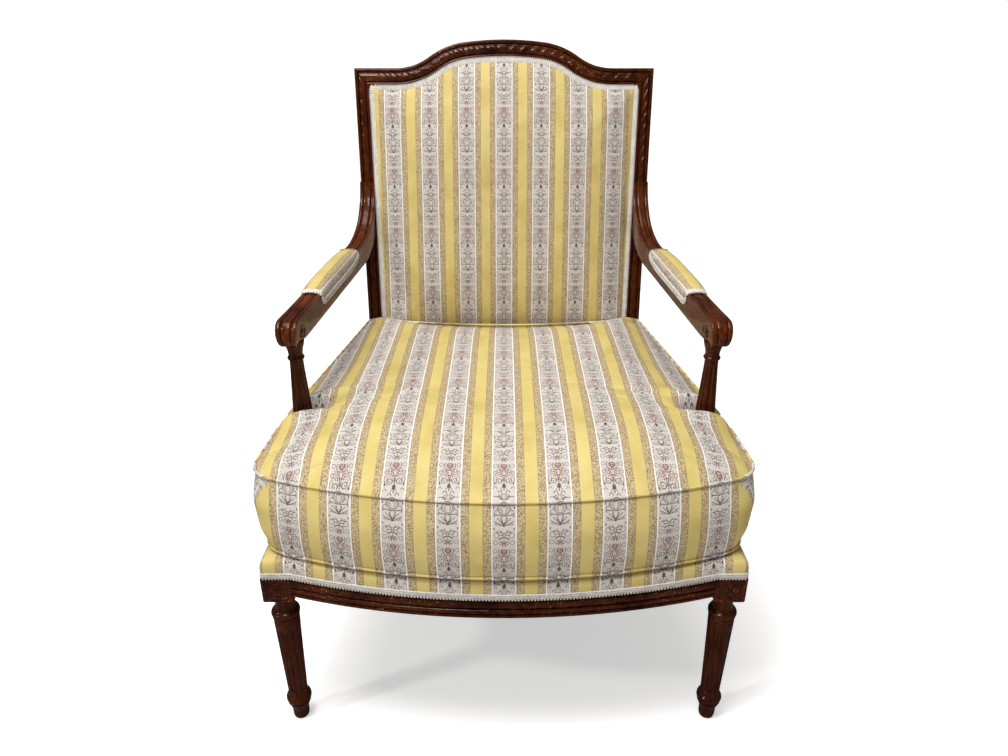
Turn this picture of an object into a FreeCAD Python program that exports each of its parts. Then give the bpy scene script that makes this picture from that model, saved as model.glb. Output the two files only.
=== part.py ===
import FreeCAD, Part
import math
import os
import re

import Sketcher
from FreeCAD import Placement, Rotation, Vector

# Open armchair with a moulded serpentine crest, a raked upholstered back, padded scroll arms on
# turned supports, a bow-fronted seat and a loose boxed cushion. Sizes are in millimetres.
# X is across, Y runs from front to back and Z is up. Depths are written from the front faces of
# the front leg blocks, and origin_setback moves them to the part's own origin.
# Left and right are as seen from the front, so the right side is the +X side.

SIZES = (
    ("origin_setback", 366, "leg block faces back to the origin"),
    ("leg_centre", 312.5, "front leg axis out from the middle"),
    ("block_width", 42, "side of the square leg block"),
    ("block_bottom", 239, "underside of the leg block"),
    ("rail_bottom", 248, "underside of the seat rails"),
    ("wood_top", 280, "top of the polished wood, where the seat cover starts"),
    ("rail_top", 298, "top of the seat rails under the cover"),
    ("rail_thickness", 30, "seat rail, outside to inside"),
    ("cover_rebate", 2.5, "depth of the rebate for the seat cover"),
    ("front_bow", 42, "front rail's bow ahead of the leg blocks"),
    ("rear_leg_face", 610, "front face of the rear legs"),
    ("rear_outer", 274, "outer face of the rear legs"),
    ("rear_leg_depth", 31, "rear leg at the rails, front to back"),
    ("rear_leg_knee", 243, "height where the rear leg starts to rake back"),
    ("rear_foot_back", 45, "rear foot's step back from the rear leg's face"),
    ("rear_foot_width", 28, "side of the rear foot"),
    ("stile_start", 308, "height where the raked stiles start"),
    ("back_rake", 12.4, "lean of the back in degrees"),
    ("crest_half", 286, "outer corner of the crest out from the middle"),
    ("shoulder_height", 594, "crest shoulder above the stiles' start, along the back"),
    ("arch_rise", 51, "crest's middle above its shoulders"),
    ("arch_radius", 600, "middle of the arch"),
    ("arch_angle", 7.2, "half the middle arc in degrees"),
    ("haunch_radius", 150, "arch's turn down to the hollow"),
    ("haunch_angle", 35, "steepest slope of the crest in degrees"),
    ("crest_width", 32, "moulded width of the crest"),
    ("stile_width", 28.5, "moulded width of the stiles"),
    ("frame_depth", 30, "back frame, front to rear"),
    ("tacking_ledge", 10, "width of the ledge that the fabric is tacked to"),
    ("front_rebate", 4, "depth of the ledge behind the mouldings"),
    ("rear_rebate", 3, "depth of the ledge at the rear"),
    ("edge_bead", 6.5, "width of the two edge beads"),
    ("edge_rise", 1.2, "height of the edge beads"),
    ("middle_rise", 2.4, "height of the middle bead"),
    ("quirk", 1.8, "width of the cut between two beads"),
    ("quirk_depth", 2.4, "depth of that cut"),
    ("low_rail_bottom", 36, "lower back rail above the stiles' start"),
    ("neck_length", 27, "leg block down to the big ring"),
    ("neck_radius", 13.5, "leg's neck"),
    ("collar_radius", 16, "small collar under the block"),
    ("collar_height", 3, "height of the small collar"),
    ("ring_depth", 3, "how far the turned rings stand out"),
    ("leg_ring_radius", 20, "big ring at the top of the leg"),
    ("leg_ring_height", 10, "height of that ring"),
    ("shaft_top_radius", 18.2, "fluted shaft at the top"),
    ("shaft_foot_radius", 14, "fluted shaft at the bottom"),
    ("shaft_foot", 48, "bottom of the fluted shaft"),
    ("foot_ring_radius", 18.5, "ring above the foot"),
    ("foot_ring_bottom", 33, "underside of the ring above the foot"),
    ("foot_height", 20, "straight peg foot"),
    ("foot_radius", 12, "peg foot"),
    ("leg_flutes", 12, "flutes round a leg"),
    ("flute_top_radius", 3, "leg flute at the top"),
    ("flute_foot_radius", 2.3, "leg flute at the bottom"),
    ("panel_margin", 5, "border round the sunk panel of a block"),
    ("panel_depth", 1.5, "depth of the sunk panel"),
    ("rosette_radius", 10.5, "raised disc in the panel"),
    ("post_centre", 302, "arm support out from the middle"),
    ("post_depth", 190, "arm support back from the leg blocks"),
    ("post_block", 26, "side of the support's square base"),
    ("post_block_height", 24, "height of the support's square base"),
    ("post_vase_radius", 17.8, "widest part of the support"),
    ("post_vase_height", 102, "widest part above the rail"),
    ("post_neck_radius", 9.8, "support under its capital"),
    ("post_capital", 33, "capital and neck, below the arm"),
    ("post_flutes", 10, "flutes round a support"),
    ("post_flute_radius", 2.4, "support flute at the bottom"),
    ("post_dowel", 6, "radius of the support's turned pins"),
    ("arm_underside", 553, "underside of the arm"),
    ("arm_height", 38, "arm from underside to top"),
    ("arm_width", 30, "arm across"),
    ("arm_reach", 33, "hand of the arm ahead of its support"),
    ("hand_radius", 20, "rounding at the front of the hand"),
    ("arm_seat", 0.5, "arm's inner face outside the inner edge of the stile's moulding"),
    ("arm_gentle_radius", 200, "gentle start of the rise"),
    ("arm_gentle_angle", 20, "angle where the steep rise starts"),
    ("arm_steep_radius", 110, "steep rise to the stile"),
    ("arm_root_rise", 27, "rise of the arm's underside to the stile"),
    ("arm_root_radius", 199, "sweep of the arm's underside"),
    ("hand_lip", 8, "rounding under the front of the hand"),
    ("arm_pad_start", 100, "arm pad's front end behind the support"),
    ("arm_pad_length", 228, "arm pad, front to back"),
    ("arm_pad_crown", 14, "arm pad above the wood"),
    ("arm_pad_flap", 20, "arm pad's flaps down the sides of the arm"),
    ("fabric", 1.5, "upholstery fabric with its lining"),
    ("gimp_height", 10, "gimp braid's width"),
    ("gimp_thickness", 1.8, "gimp braid's thickness"),
    ("webbing", 1, "thickness of one webbing strap"),
    ("strap_width", 50, "width of a webbing strap"),
    ("strap_pitch", 60, "webbing straps, middle to middle"),
    ("platform_crown", 311.8, "top of the seat platform's cover"),
    ("back_crown", 33, "back pad's swell ahead of the frame"),
    ("cushion_floor", 312.3, "underside of the cushion"),
    ("cushion_low_seam", 317, "lower seam of the cushion"),
    ("cushion_high_seam", 421, "upper seam of the cushion"),
    ("cushion_crown", 32, "crown above the upper seam"),
    ("cushion_front", 24, "upper seam ahead of the leg blocks"),
    ("cushion_front_radius", 890, "front edge of the cushion"),
    ("cushion_half", 340, "half the cushion's width in front of the supports"),
    ("cushion_corner", 45, "front corners of the cushion"),
    ("cushion_rear", 622, "rear corners behind the leg blocks"),
    ("cushion_rear_half", 272, "half the cushion's width at the rear"),
    ("cushion_hollow", 32, "how far its rear edge is hollowed for the back pad"),
    ("post_gap", 4.5, "cushion to the arm support beside it"),
    ("notch_gap", 6, "cushion to the arm support, front and back"),
    ("welt", 4, "welt cord's thickness"),
    ("brace_height", 40, "corner braces inside the seat rails"),
    ("joint_gap", 0.15, "clearance round a tenon"),
    ("tenon", 10, "thickness of the tenons"),
    ("peg_radius", 3.2, "radius of the pegs, over their corners"),
    ("peg_sides", 8, "whittled faces of a peg"),
    ("soft_gap", 0.3, "clearance round the soft pieces"),
    ("screw_radius", 2.5, "shank of the arm screws"),
    ("screw_sides", 12, "faces round a screw"),
)

doc = FreeCAD.newDocument("fauteuil")
sheet = doc.addObject("Spreadsheet::Sheet", "Sizes")
for row, (alias, number, meaning) in enumerate(SIZES, 1):
    sheet.set("A%d" % row, meaning)
    sheet.set("B%d" % row, str(number))
    sheet.setAlias("B%d" % row, alias)
doc.recompute()
ALIASES = {alias for alias, number, meaning in SIZES}

# Names for sizes that follow from the driving dimensions.
BLOCK_INNER = "(leg_centre - block_width / 2)"
BLOCK_OUTER = "(leg_centre + block_width / 2)"
BOW_RADIUS = "((%s ^ 2 + front_bow ^ 2) / (2 * front_bow))" % BLOCK_INNER
SPLAY = "((%s - rear_outer) / (rear_leg_face - block_width))" % BLOCK_OUTER
FLARE = "((crest_half - rear_outer) / shoulder_height)"
FLARE_ANGLE = "atan(%s)" % FLARE
STILE_FULL = "(stile_width + tacking_ledge)"
HOLLOW_RADIUS = ("((arch_rise - arch_radius * (1 - cos(arch_angle))"
                 " - haunch_radius * (cos(arch_angle) - cos(haunch_angle))) / (1 - cos(haunch_angle)))")
ARM_TOP = "(arm_underside + arm_height)"
POST_HEIGHT = "(arm_underside - rail_top)"


def tie(text):
    """Turn a formula with plain aliases into one that reads the sheet."""
    return re.sub(r"[a-z]\w*", lambda word: "Sizes." + word.group(0)
                  if word.group(0) in ALIASES else word.group(0), str(text))


def amount(text):
    """The present value of a formula."""
    return float(sheet.evalExpression(tie(text)))


def bind(thing, name, text):
    thing.setExpression(name, tie(text))


def side_face(depth):
    """Outer face of the side rail at a depth."""
    return "(%s - %s * ((%s) - block_width))" % (BLOCK_OUTER, SPLAY, depth)


def arc_between(start, end, radius, turn):
    """Arc under half a turn; turn is 1 where it bends left and -1 where it bends right."""
    chord = end - start
    normal = Vector(-chord.y, chord.x, 0).normalize()
    rise = math.sqrt(max(radius ** 2 - (chord.Length / 2) ** 2, 0))
    centre = (start + end) * 0.5 + normal * (rise * turn)
    first = math.atan2(start.y - centre.y, start.x - centre.x)
    last = math.atan2(end.y - centre.y, end.x - centre.x)
    circle = Part.Circle(centre, Vector(0, 0, 1), radius)
    if turn > 0:
        return Part.ArcOfCircle(circle, first, last)
    return Part.ArcOfCircle(circle, last, first)


def edge_curves(corners, closed=True):
    """Straight and round edges through corners (x, y) or (x, y, radius, turn)."""
    spots = [Vector(amount(corner[0]), amount(corner[1]), 0) for corner in corners]
    count = len(corners) if closed else len(corners) - 1
    curves = []
    for index in range(count):
        start, end = spots[index], spots[(index + 1) % len(spots)]
        if len(corners[index]) == 2:
            curves.append(Part.LineSegment(start, end))
        else:
            radius, turn = corners[index][2:]
            curves.append(arc_between(start, end, amount(radius), turn))
    return curves


def hold(sketch, joints, sizes):
    """Constrain a sketch in one step; sizes pair a dimension with its formula."""
    first = sketch.ConstraintCount
    sketch.addConstraint(joints + [dimension for dimension, text in sizes])
    for number, (dimension, text) in enumerate(sizes, first + len(joints)):
        bind(sketch, "Constraints[%d]" % number, text)


def spot_sizes(edge, point, x, y):
    return [(Sketcher.Constraint(kind, -1, 1, edge, point, amount(text)), text)
            for kind, text in (("DistanceX", x), ("DistanceY", y))]


def draw(sketch, corners, closed=True):
    """Draw an outline in a sketch and tie every corner and radius to the sheet."""
    first = sketch.GeometryCount
    curves = edge_curves(corners, closed)
    starts = [2 if len(corner) == 4 and corner[3] < 0 else 1 for corner in corners]
    sketch.addGeometry(curves, False)
    joints = []
    sizes = []
    for index in range(len(curves)):
        following = (index + 1) % len(corners)
        if following < len(curves):
            joints.append(Sketcher.Constraint(
                "Coincident", first + index, 3 - starts[index], first + following, starts[following]))
    for index, corner in enumerate(corners):
        last = index == len(curves)
        edge = first + (index - 1 if last else index)
        point = 3 - starts[index - 1] if last else starts[index]
        sizes += spot_sizes(edge, point, corner[0], corner[1])
        if len(corner) == 4 and not last:
            sizes.append((Sketcher.Constraint("Radius", edge, amount(corner[2])), corner[2]))
    hold(sketch, joints, sizes)


def draw_circle(sketch, x, y, radius):
    number = sketch.addGeometry(Part.Circle(Vector(amount(x), amount(y), 0), Vector(0, 0, 1), amount(radius)))
    size = (Sketcher.Constraint("Radius", number, amount(radius)), radius)
    hold(sketch, [], spot_sizes(number, 3, x, y) + [size])


def put(thing, x=0, y=0, z=0, axis=(1, 0, 0), angle=0, on_back=False):
    """Place a piece; y is a depth from the leg blocks, or the place is in the raked plane of the back."""
    if on_back:
        across, up = y, z
        y = "(rear_leg_face + (%s) * cos(back_rake) + (%s) * sin(back_rake))" % (across, up)
        z = "(stile_start - (%s) * sin(back_rake) + (%s) * cos(back_rake))" % (across, up)
        if axis[0]:
            angle = "%s - back_rake" % angle
    thing.Placement = Placement(Vector(0, 0, 0), Rotation(Vector(*axis), 1))
    bind(thing, "Placement.Base.x", x)
    bind(thing, "Placement.Base.y", "%s - origin_setback" % y)
    bind(thing, "Placement.Base.z", z)
    bind(thing, "Placement.Rotation.Angle", angle)
    return thing


def new_body(name):
    return doc.addObject("PartDesign::Body", name)


def datum(body, role):
    return next(item for item in body.Origin.OriginFeatures if item.Role == role)


def new_sketch(body, role, lift=0, rise=0, turn=None):
    """A sketch on one of the body's planes, lifted off it, moved up in it and turned about an axis."""
    sketch = body.newObject("Sketcher::SketchObject", body.Name + "_sketch")
    sketch.AttachmentSupport = [(datum(body, role), "")]
    sketch.MapMode = "FlatFace"
    if turn:
        sketch.AttachmentOffset = Placement(Vector(0, 0, 0), Rotation(Vector(*turn[0]), 1))
        bind(sketch, "AttachmentOffset.Rotation.Angle", turn[1])
    bind(sketch, "AttachmentOffset.Base.y", rise)
    bind(sketch, "AttachmentOffset.Base.z", lift)
    return sketch


def outline(body, role, *outlines, **place):
    sketch = new_sketch(body, role, **place)
    for corners in outlines:
        draw(sketch, corners)
    return sketch


def extrude(body, kind, sketch, length, flip=False, both=False, lean=None):
    """Pad or Pocket a sketch; lean is a direction for a slanting pad."""
    feature = body.newObject("PartDesign::" + kind, body.Name + "_" + kind.lower())
    feature.Profile = sketch
    if length is None:
        feature.Type = "ThroughAll"
    else:
        bind(feature, "Length", length)
    if both:
        feature.SideType = "Symmetric"
    feature.Reversed = flip
    if lean:
        feature.UseCustomVector = True
        for name, text in zip(("x", "y", "z"), lean):
            bind(feature, "Direction." + name, text)
    sketch.Visibility = False
    return feature


def revolve(body, sketch, angle=360, flat=False):
    """Turn a sketch about the body's upright axis, or about its own flat axis."""
    feature = body.newObject("PartDesign::Revolution", body.Name + "_turning")
    feature.Profile = sketch
    feature.ReferenceAxis = (sketch, ["H_Axis"]) if flat else (datum(body, "Z_Axis"), [""])
    bind(feature, "Angle", angle)
    return feature


def pattern(body, feature, count):
    copies = body.newObject("PartDesign::PolarPattern", body.Name + "_pattern")
    copies.Originals = [feature]
    copies.Axis = (datum(body, "Z_Axis"), [""])
    copies.Angle = 360
    bind(copies, "Occurrences", count)
    body.Tip = copies
    return copies


def mirror(body, *features):
    copy = body.newObject("PartDesign::Mirrored", body.Name + "_mirror")
    copy.Originals = list(features)
    copy.MirrorPlane = (datum(body, "YZ_Plane"), [""])
    body.Tip = copy
    return copy


def loft(body, kind, low, high):
    feature = body.newObject("PartDesign::" + kind, body.Name + "_loft")
    feature.Profile = low
    feature.Sections = [high]
    feature.Ruled = True
    return feature


def box(name, x, y, z, length, width, height, on_back=False):
    """A block from its lowest corner, in the room or in the plane of the back."""
    block = doc.addObject("Part::Box", name)
    bind(block, "Length", length)
    bind(block, "Width", width)
    bind(block, "Height", height)
    return put(block, x, y, z, on_back=on_back)


ALONG = {"x": ((0, 1, 0), 90), "y": ((1, 0, 0), -90), "z": ((0, 0, 1), 0)}


def rod(name, x, y, z, radius, length, along, on_back=False, sides=None):
    """A round or faceted bar from the middle of its first end, along an axis."""
    bar = doc.addObject("Part::Prism" if sides else "Part::Cylinder", name)
    if sides:
        bind(bar, "Polygon", sides)
    bind(bar, "Circumradius" if sides else "Radius", radius)
    bind(bar, "Height", length)
    axis, angle = ALONG[along]
    return put(bar, x, y, z, axis, angle, on_back)


def fuse(name, *pieces):
    whole = doc.addObject("Part::MultiFuse", name)
    whole.Shapes = list(pieces)
    whole.Refine = True
    return whole


def common(name, *pieces):
    shared = doc.addObject("Part::MultiCommon", name)
    shared.Shapes = list(pieces)
    return shared


def cut(name, base, *tools):
    for number, tool in enumerate(tools, 1):
        rest = doc.addObject("Part::Cut", name + ("_cut%d" % number if number < len(tools) else ""))
        rest.Base = base
        rest.Tool = tool
        base = rest
    return base


def group(name, pieces):
    gathered = doc.addObject("Part::Compound", name)
    gathered.Links = list(pieces)
    return gathered


def mirrored(name, piece):
    """The left-hand copy of a right-hand piece."""
    copy = doc.addObject("Part::Mirroring", name)
    copy.Source = piece
    copy.Normal = Vector(1, 0, 0)
    return copy


nodes = {}


def keep(name, piece):
    """Give a finished sub-part its own label, which names its file."""
    piece.Label = name
    nodes[name] = piece
    return piece


def keep_pair(name, piece):
    keep(name + "_right", piece)
    keep(name + "_left", mirrored(name + "_left", piece))


# Mouldings

def bead_radius(width, rise):
    return "((((%s) / 2) ^ 2 + (%s) ^ 2) / (2 * (%s)))" % (width, rise, rise)


def beads(width):
    """Front of a moulding as (across, depth, bead width, bead rise): two edge beads and a middle bead."""
    valley = "edge_rise"
    cut_foot = "edge_rise + quirk_depth"
    middle = "(%s) - 2 * edge_bead - 2 * quirk" % width
    return (
        ("0", valley, "edge_bead", "edge_rise"),
        ("edge_bead", valley),
        ("edge_bead + quirk / 2", cut_foot),
        ("edge_bead + quirk", valley, middle, "middle_rise"),
        ("(%s) - edge_bead - quirk" % width, valley),
        ("(%s) - edge_bead - quirk / 2" % width, cut_foot),
        ("(%s) - edge_bead" % width, valley, "edge_bead", "edge_rise"),
        (width, valley),
    )


def moulded(width, rest, across, turn):
    """A moulded section: beads along the front and the points of rest behind, placed by across."""
    corners = []
    for point in beads(width) + tuple(rest):
        spot = across(point[0], point[1])
        if len(point) == 4:
            spot += (bead_radius(point[2], point[3]), turn)
        corners.append(spot)
    return corners


def ledge_points(width):
    """Back of a frame member: both tacking ledges and the rear face."""
    far = "(%s) + tacking_ledge" % width
    rear_step = "frame_depth - rear_rebate"
    return ((width, "front_rebate"), (far, "front_rebate"), (far, rear_step), (width, rear_step),
            (width, "frame_depth"), ("0", "frame_depth"))


def crest_line(inset=0):
    """Corners of the crest's right half, from the middle out, moved inward by inset."""
    drop_arch = "arch_radius * (1 - cos(arch_angle))"
    drop_haunch = "haunch_radius * (cos(arch_angle) - cos(haunch_angle))"
    x_arch = "arch_radius * sin(arch_angle)"
    x_haunch = x_arch + " + haunch_radius * (sin(haunch_angle) - sin(arch_angle))"
    x_hollow = "%s + %s * sin(haunch_angle)" % (x_haunch, HOLLOW_RADIUS)
    top = "shoulder_height + arch_rise"
    return [
        ("0", "%s - (%s)" % (top, inset), "arch_radius - (%s)" % inset, -1),
        ("%s - (%s) * sin(arch_angle)" % (x_arch, inset),
         "%s - %s - (%s) * cos(arch_angle)" % (top, drop_arch, inset), "haunch_radius - (%s)" % inset, -1),
        ("%s - (%s) * sin(haunch_angle)" % (x_haunch, inset),
         "%s - %s - %s - (%s) * cos(haunch_angle)" % (top, drop_arch, drop_haunch, inset),
         "%s + (%s)" % (HOLLOW_RADIUS, inset), 1),
        (x_hollow, "shoulder_height - (%s)" % inset),
    ]


def both_sides(right):
    """Close an outline whose right half runs from the middle top down to the middle bottom."""
    left = []
    for index in range(len(right) - 1, 0, -1):
        point, before = right[index], right[index - 1]
        spot = ("-(%s)" % point[0], point[1])
        left.append(spot + tuple(before[2:]))
    return right + left


def stile_inner(height):
    """Inner edge of the stile's moulding at a height along the back."""
    return "(rear_outer - stile_width + %s * (%s))" % (FLARE, height)


def back_outline(inset):
    """The opening inside the back frame's mouldings, moved inward by inset."""
    top = "(shoulder_height - crest_width - (%s))" % inset
    low = "(low_rail_bottom + crest_width + (%s))" % inset
    right = crest_line("crest_width + (%s)" % inset)
    right.append(("%s - (%s)" % (stile_inner(top), inset), top))
    right.append(("%s - (%s)" % (stile_inner(low), inset), low))
    return both_sides(right)


def mirrored_outline(right):
    """Close an outline whose right half runs from front to back or from top to bottom."""
    left = [("-(%s)" % point[0], point[1]) for point in reversed(right)]
    return right + left


# Joints: a tenon, its mortise and its peg take their places from one record each.

TENON_INSET = "(frame_depth - tenon) / 2"
STILE_FULL_INNER = "(rear_outer - %s)" % STILE_FULL
LOW_RAIL_END = "(%s + %s * low_rail_bottom)" % (STILE_FULL_INNER, FLARE)
SEAT_TENON_FOOT = "(rail_bottom + 6)"
SEAT_TENON_HEIGHT = "(rail_top - rail_bottom - 12)"
SIDE_FRONT_MIDDLE = "(%s - rail_thickness / 2)" % BLOCK_OUTER
SIDE_REAR_MIDDLE = "(rear_outer - rail_thickness / 2)"
PEG_LOW = "(rail_bottom + 16)"
PEG_HIGH = "(rail_top - 16)"
OVERLAP = "1"

# name: corner x, y, z, length, width, height, in the plane of the back or not
TENONS = {
    "crest": ("crest_half - stile_width", TENON_INSET, "shoulder_height - 2 * crest_width",
              "stile_width - 1.5 * edge_bead", "tenon", "2 * crest_width - 1.3 * edge_bead", True),
    "low_rail": ("%s - %s" % (LOW_RAIL_END, OVERLAP), TENON_INSET, "low_rail_bottom + edge_bead",
                 "tacking_ledge + edge_bead", "tenon", "crest_width - edge_bead", True),
    "front_rail": ("%s - %s" % (BLOCK_INNER, OVERLAP), "(rail_thickness - tenon) / 2", SEAT_TENON_FOOT,
                   "0.4 * block_width + %s" % OVERLAP, "tenon", SEAT_TENON_HEIGHT, False),
    "side_front": ("%s - tenon / 2" % SIDE_FRONT_MIDDLE, "0.5 * block_width", SEAT_TENON_FOOT,
                   "tenon", "0.5 * block_width + %s" % OVERLAP, SEAT_TENON_HEIGHT, False),
    "side_rear": ("%s - tenon / 2" % SIDE_REAR_MIDDLE, "rear_leg_face - %s" % OVERLAP, SEAT_TENON_FOOT,
                  "tenon", "0.7 * rear_leg_depth + %s" % OVERLAP, SEAT_TENON_HEIGHT, False),
    "rear_rail": ("%s - %s" % (STILE_FULL_INNER, OVERLAP), "rear_leg_face + rear_leg_depth / 2",
                  SEAT_TENON_FOOT, "0.4 * %s + %s" % (STILE_FULL, OVERLAP), "tenon",
                  SEAT_TENON_HEIGHT, False),
}

# name: first end x, y, z, length, direction, in the plane of the back or not
PEGS = {
    "crest": ("crest_half - 0.75 * stile_width", "8", "shoulder_height - 0.7 * crest_width",
              "frame_depth - 8", "y", True),
    "low_rail": ("%s + 0.6 * tacking_ledge" % LOW_RAIL_END, "8", "low_rail_bottom + 0.6 * crest_width",
                 "frame_depth - rear_rebate - 8", "y", True),
    "front_rail": ("%s + 0.2 * block_width" % BLOCK_INNER, "8", PEG_HIGH, "block_width - 8", "y", False),
    "side_front": (BLOCK_INNER, "0.8 * block_width", PEG_LOW, "0.85 * block_width", "x", False),
    "side_rear": ("%s - tenon" % SIDE_REAR_MIDDLE, "rear_leg_face + 0.35 * rear_leg_depth", PEG_LOW,
                  "rail_thickness / 2 + tenon", "x", False),
    "rear_rail": ("%s + 0.2 * %s" % (STILE_FULL_INNER, STILE_FULL), "rear_leg_face + 8", PEG_HIGH,
                  "rear_leg_depth - 8", "y", False),
}


def tenon(name, mortise=False):
    """The tenon of a joint, or the slightly larger block that cuts its mortise."""
    x, y, z, length, width, height, on_back = TENONS[name]
    if not mortise:
        return box(name + "_tenon", x, y, z, length, width, height, on_back)
    grown = ["%s - joint_gap" % place for place in (x, y, z)]
    grown += ["%s + 2 * joint_gap" % size for size in (length, width, height)]
    return box(name + "_mortise", *grown, on_back=on_back)


def peg(name, hole=False):
    x, y, z, length, along, on_back = PEGS[name]
    radius = "peg_radius + joint_gap / 3" if hole else "peg_radius"
    return rod(name + ("_peg_hole" if hole else "_peg"), x, y, z, radius, length, along, on_back, "peg_sides")


def with_left(*tools):
    """Tools for both sides of a piece that crosses the middle."""
    return list(tools) + [mirrored(tool.Name + "_left", tool) for tool in tools]


# Front legs

def leg_turning():
    """Half the outline of the turned leg, from the block down to the floor."""
    ring_top = "(block_bottom - neck_length)"
    ring_foot = "(%s - leg_ring_height)" % ring_top
    low_ring_foot = "(%s - 0.7 * leg_ring_height)" % ring_foot
    collar_foot = "(block_bottom - collar_height)"
    return [
        ("0", "block_bottom + 1"),
        ("collar_radius", "block_bottom + 1"),
        ("collar_radius", collar_foot),
        ("neck_radius", "%s - 1.5 * collar_height" % collar_foot),
        ("neck_radius", "%s + 1.5 * collar_height" % ring_top),
    ] + ring("leg_ring_radius", "ring_depth", ring_top, ring_foot) + ring(
        "leg_ring_radius - 1", "ring_depth", "%s - 0.8" % ring_foot, low_ring_foot) + [
        ("shaft_top_radius", "%s - 0.4 * leg_ring_height" % low_ring_foot),
        ("shaft_foot_radius", "shaft_foot"),
    ] + ring("foot_ring_radius", "ring_depth", "shaft_foot - collar_height", "foot_ring_bottom") + [
        ("foot_radius", "foot_height"),
        ("foot_radius", "0.4 * foot_height"),
        ("0.6 * foot_radius", "0"),
        ("0", "0"),
    ]


def ring(radius, depth, top, foot):
    """A turned ring with its edges eased, standing so deep out of the wood."""
    ease = "0.32 * ((%s) - (%s))" % (top, foot)
    return [("%s - %s" % (radius, depth), top), (radius, "%s - %s" % (top, ease)),
            (radius, "%s + %s" % (foot, ease)), ("%s - %s" % (radius, depth), foot)]


def flutes(body, top_height, top_radius, top_flute, foot_height, foot_radius, foot_flute, count):
    """Flutes along a tapered shaft, each a round cut that tapers with it."""
    sections = []
    for height, radius, flute in ((foot_height, foot_radius, foot_flute), (top_height, top_radius, top_flute)):
        sketch = new_sketch(body, "XY_Plane", height)
        draw_circle(sketch, "%s + 0.45 * (%s)" % (radius, flute), "0", flute)
        sections.append(sketch)
    return pattern(body, loft(body, "SubtractiveLoft", *sections), count)


def square(middle_x, middle_y, half):
    return [("%s - (%s)" % (middle_x, half), "%s - (%s)" % (middle_y, half)),
            ("%s + (%s)" % (middle_x, half), "%s - (%s)" % (middle_y, half)),
            ("%s + (%s)" % (middle_x, half), "%s + (%s)" % (middle_y, half)),
            ("%s - (%s)" % (middle_x, half), "%s + (%s)" % (middle_y, half))]


def make_front_leg():
    body = put(new_body("front_leg_body"), "leg_centre", "block_width / 2")
    revolve(body, outline(body, "XZ_Plane", leg_turning()))
    shaft_top = "(block_bottom - neck_length - 2.1 * leg_ring_height)"
    slope = "((shaft_top_radius - shaft_foot_radius) / (%s - shaft_foot))" % shaft_top
    high = "(%s - 20)" % shaft_top
    low = "(shaft_foot + 14)"
    flutes(body, high, "(shaft_top_radius - %s * 20)" % slope, "flute_top_radius",
           low, "(shaft_foot_radius + %s * 14)" % slope, "flute_foot_radius", "leg_flutes")
    half = "block_width / 2"
    extrude(body, "Pad", outline(body, "XY_Plane", square("0", "0", half), lift="block_bottom"),
            "wood_top - block_bottom")
    tacked = [("-(%s)" % half, "-(%s) + cover_rebate" % half), ("%s - cover_rebate" % half, "-(%s) + cover_rebate" % half),
              ("%s - cover_rebate" % half, half), ("-(%s)" % half, half)]
    extrude(body, "Pad", outline(body, "XY_Plane", tacked, lift="wood_top"), "rail_top - wood_top")
    middle = "(block_bottom + wood_top) / 2"
    panel_half = "(wood_top - block_bottom) / 2 - panel_margin"
    for role, lift, flip in (("XZ_Plane", half, False), ("YZ_Plane", half, False)):
        sketch = new_sketch(body, role, lift)
        draw(sketch, square("0", middle, panel_half))
        draw_circle(sketch, "0", middle, "rosette_radius")
        extrude(body, "Pocket", sketch, "panel_depth", flip)
    return cut("front_leg", body, tenon("front_rail", True), tenon("side_front", True),
               peg("front_rail", True), peg("side_front", True))


# Arm supports

def make_arm_support():
    body = put(new_body("arm_support_body"), "post_centre", "post_depth", "rail_top")
    capital = "(%s - post_capital)" % POST_HEIGHT
    base_ring = "(post_block_height + 2.5 * collar_height)"
    collar = "(%s + 0.25 * post_capital)" % capital
    turning = [
        ("0", "post_block_height - 1"),
        ("post_block / 2 - 1", "post_block_height - 1"),
        ("post_block / 2 - 1", "post_block_height + 0.4 * collar_height"),
        ("post_block / 2 + 1", "post_block_height + collar_height"),
        ("post_block / 2 + 1", "post_block_height + 1.6 * collar_height"),
        ("post_neck_radius + 1", base_ring),
        ("post_neck_radius + 1", "%s + 2 * collar_height" % base_ring),
        ("post_vase_radius - 3", "0.72 * post_vase_height"),
        ("post_vase_radius", "post_vase_height"),
        ("post_neck_radius", capital),
        ("post_neck_radius", "%s - collar_height / 2" % collar),
        ("post_neck_radius + 2.5", "%s + collar_height / 2" % collar),
        ("post_neck_radius + 2.5", "%s + collar_height" % collar),
        ("post_neck_radius + 0.5", "%s + 1.5 * collar_height" % collar),
        ("post_block / 2 - 1.5", "%s - 2.5 * collar_height" % POST_HEIGHT),
        ("post_block / 2", "%s - 1.5 * collar_height" % POST_HEIGHT),
        ("post_block / 2", POST_HEIGHT),
        ("0", POST_HEIGHT),
    ]
    revolve(body, outline(body, "XZ_Plane", turning))
    slope = "((post_vase_radius - post_neck_radius) / (%s - post_vase_height))" % capital
    flutes(body, "(%s - 6)" % capital, "(post_neck_radius + %s * 6)" % slope, "0.55 * post_flute_radius",
           "(post_vase_height + 8)", "(post_vase_radius - %s * 8)" % slope, "post_flute_radius", "post_flutes")
    extrude(body, "Pad", outline(body, "XY_Plane", square("0", "0", "post_block / 2")), "post_block_height")
    foot = rod("arm_support_foot", "post_centre", "post_depth", "rail_top - post_block / 2 - 6",
               "post_dowel", "post_block / 2 + 7", "z")
    head = rod("arm_support_head", "post_centre", "post_depth", "arm_underside - 1", "post_dowel",
               "arm_height / 3 + 1", "z")
    return fuse("arm_support", body, foot, head)


def dowel_hole(name, z, length):
    return rod(name, "post_centre", "post_depth", z, "post_dowel + joint_gap", length, "z")


# Seat rails

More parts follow.
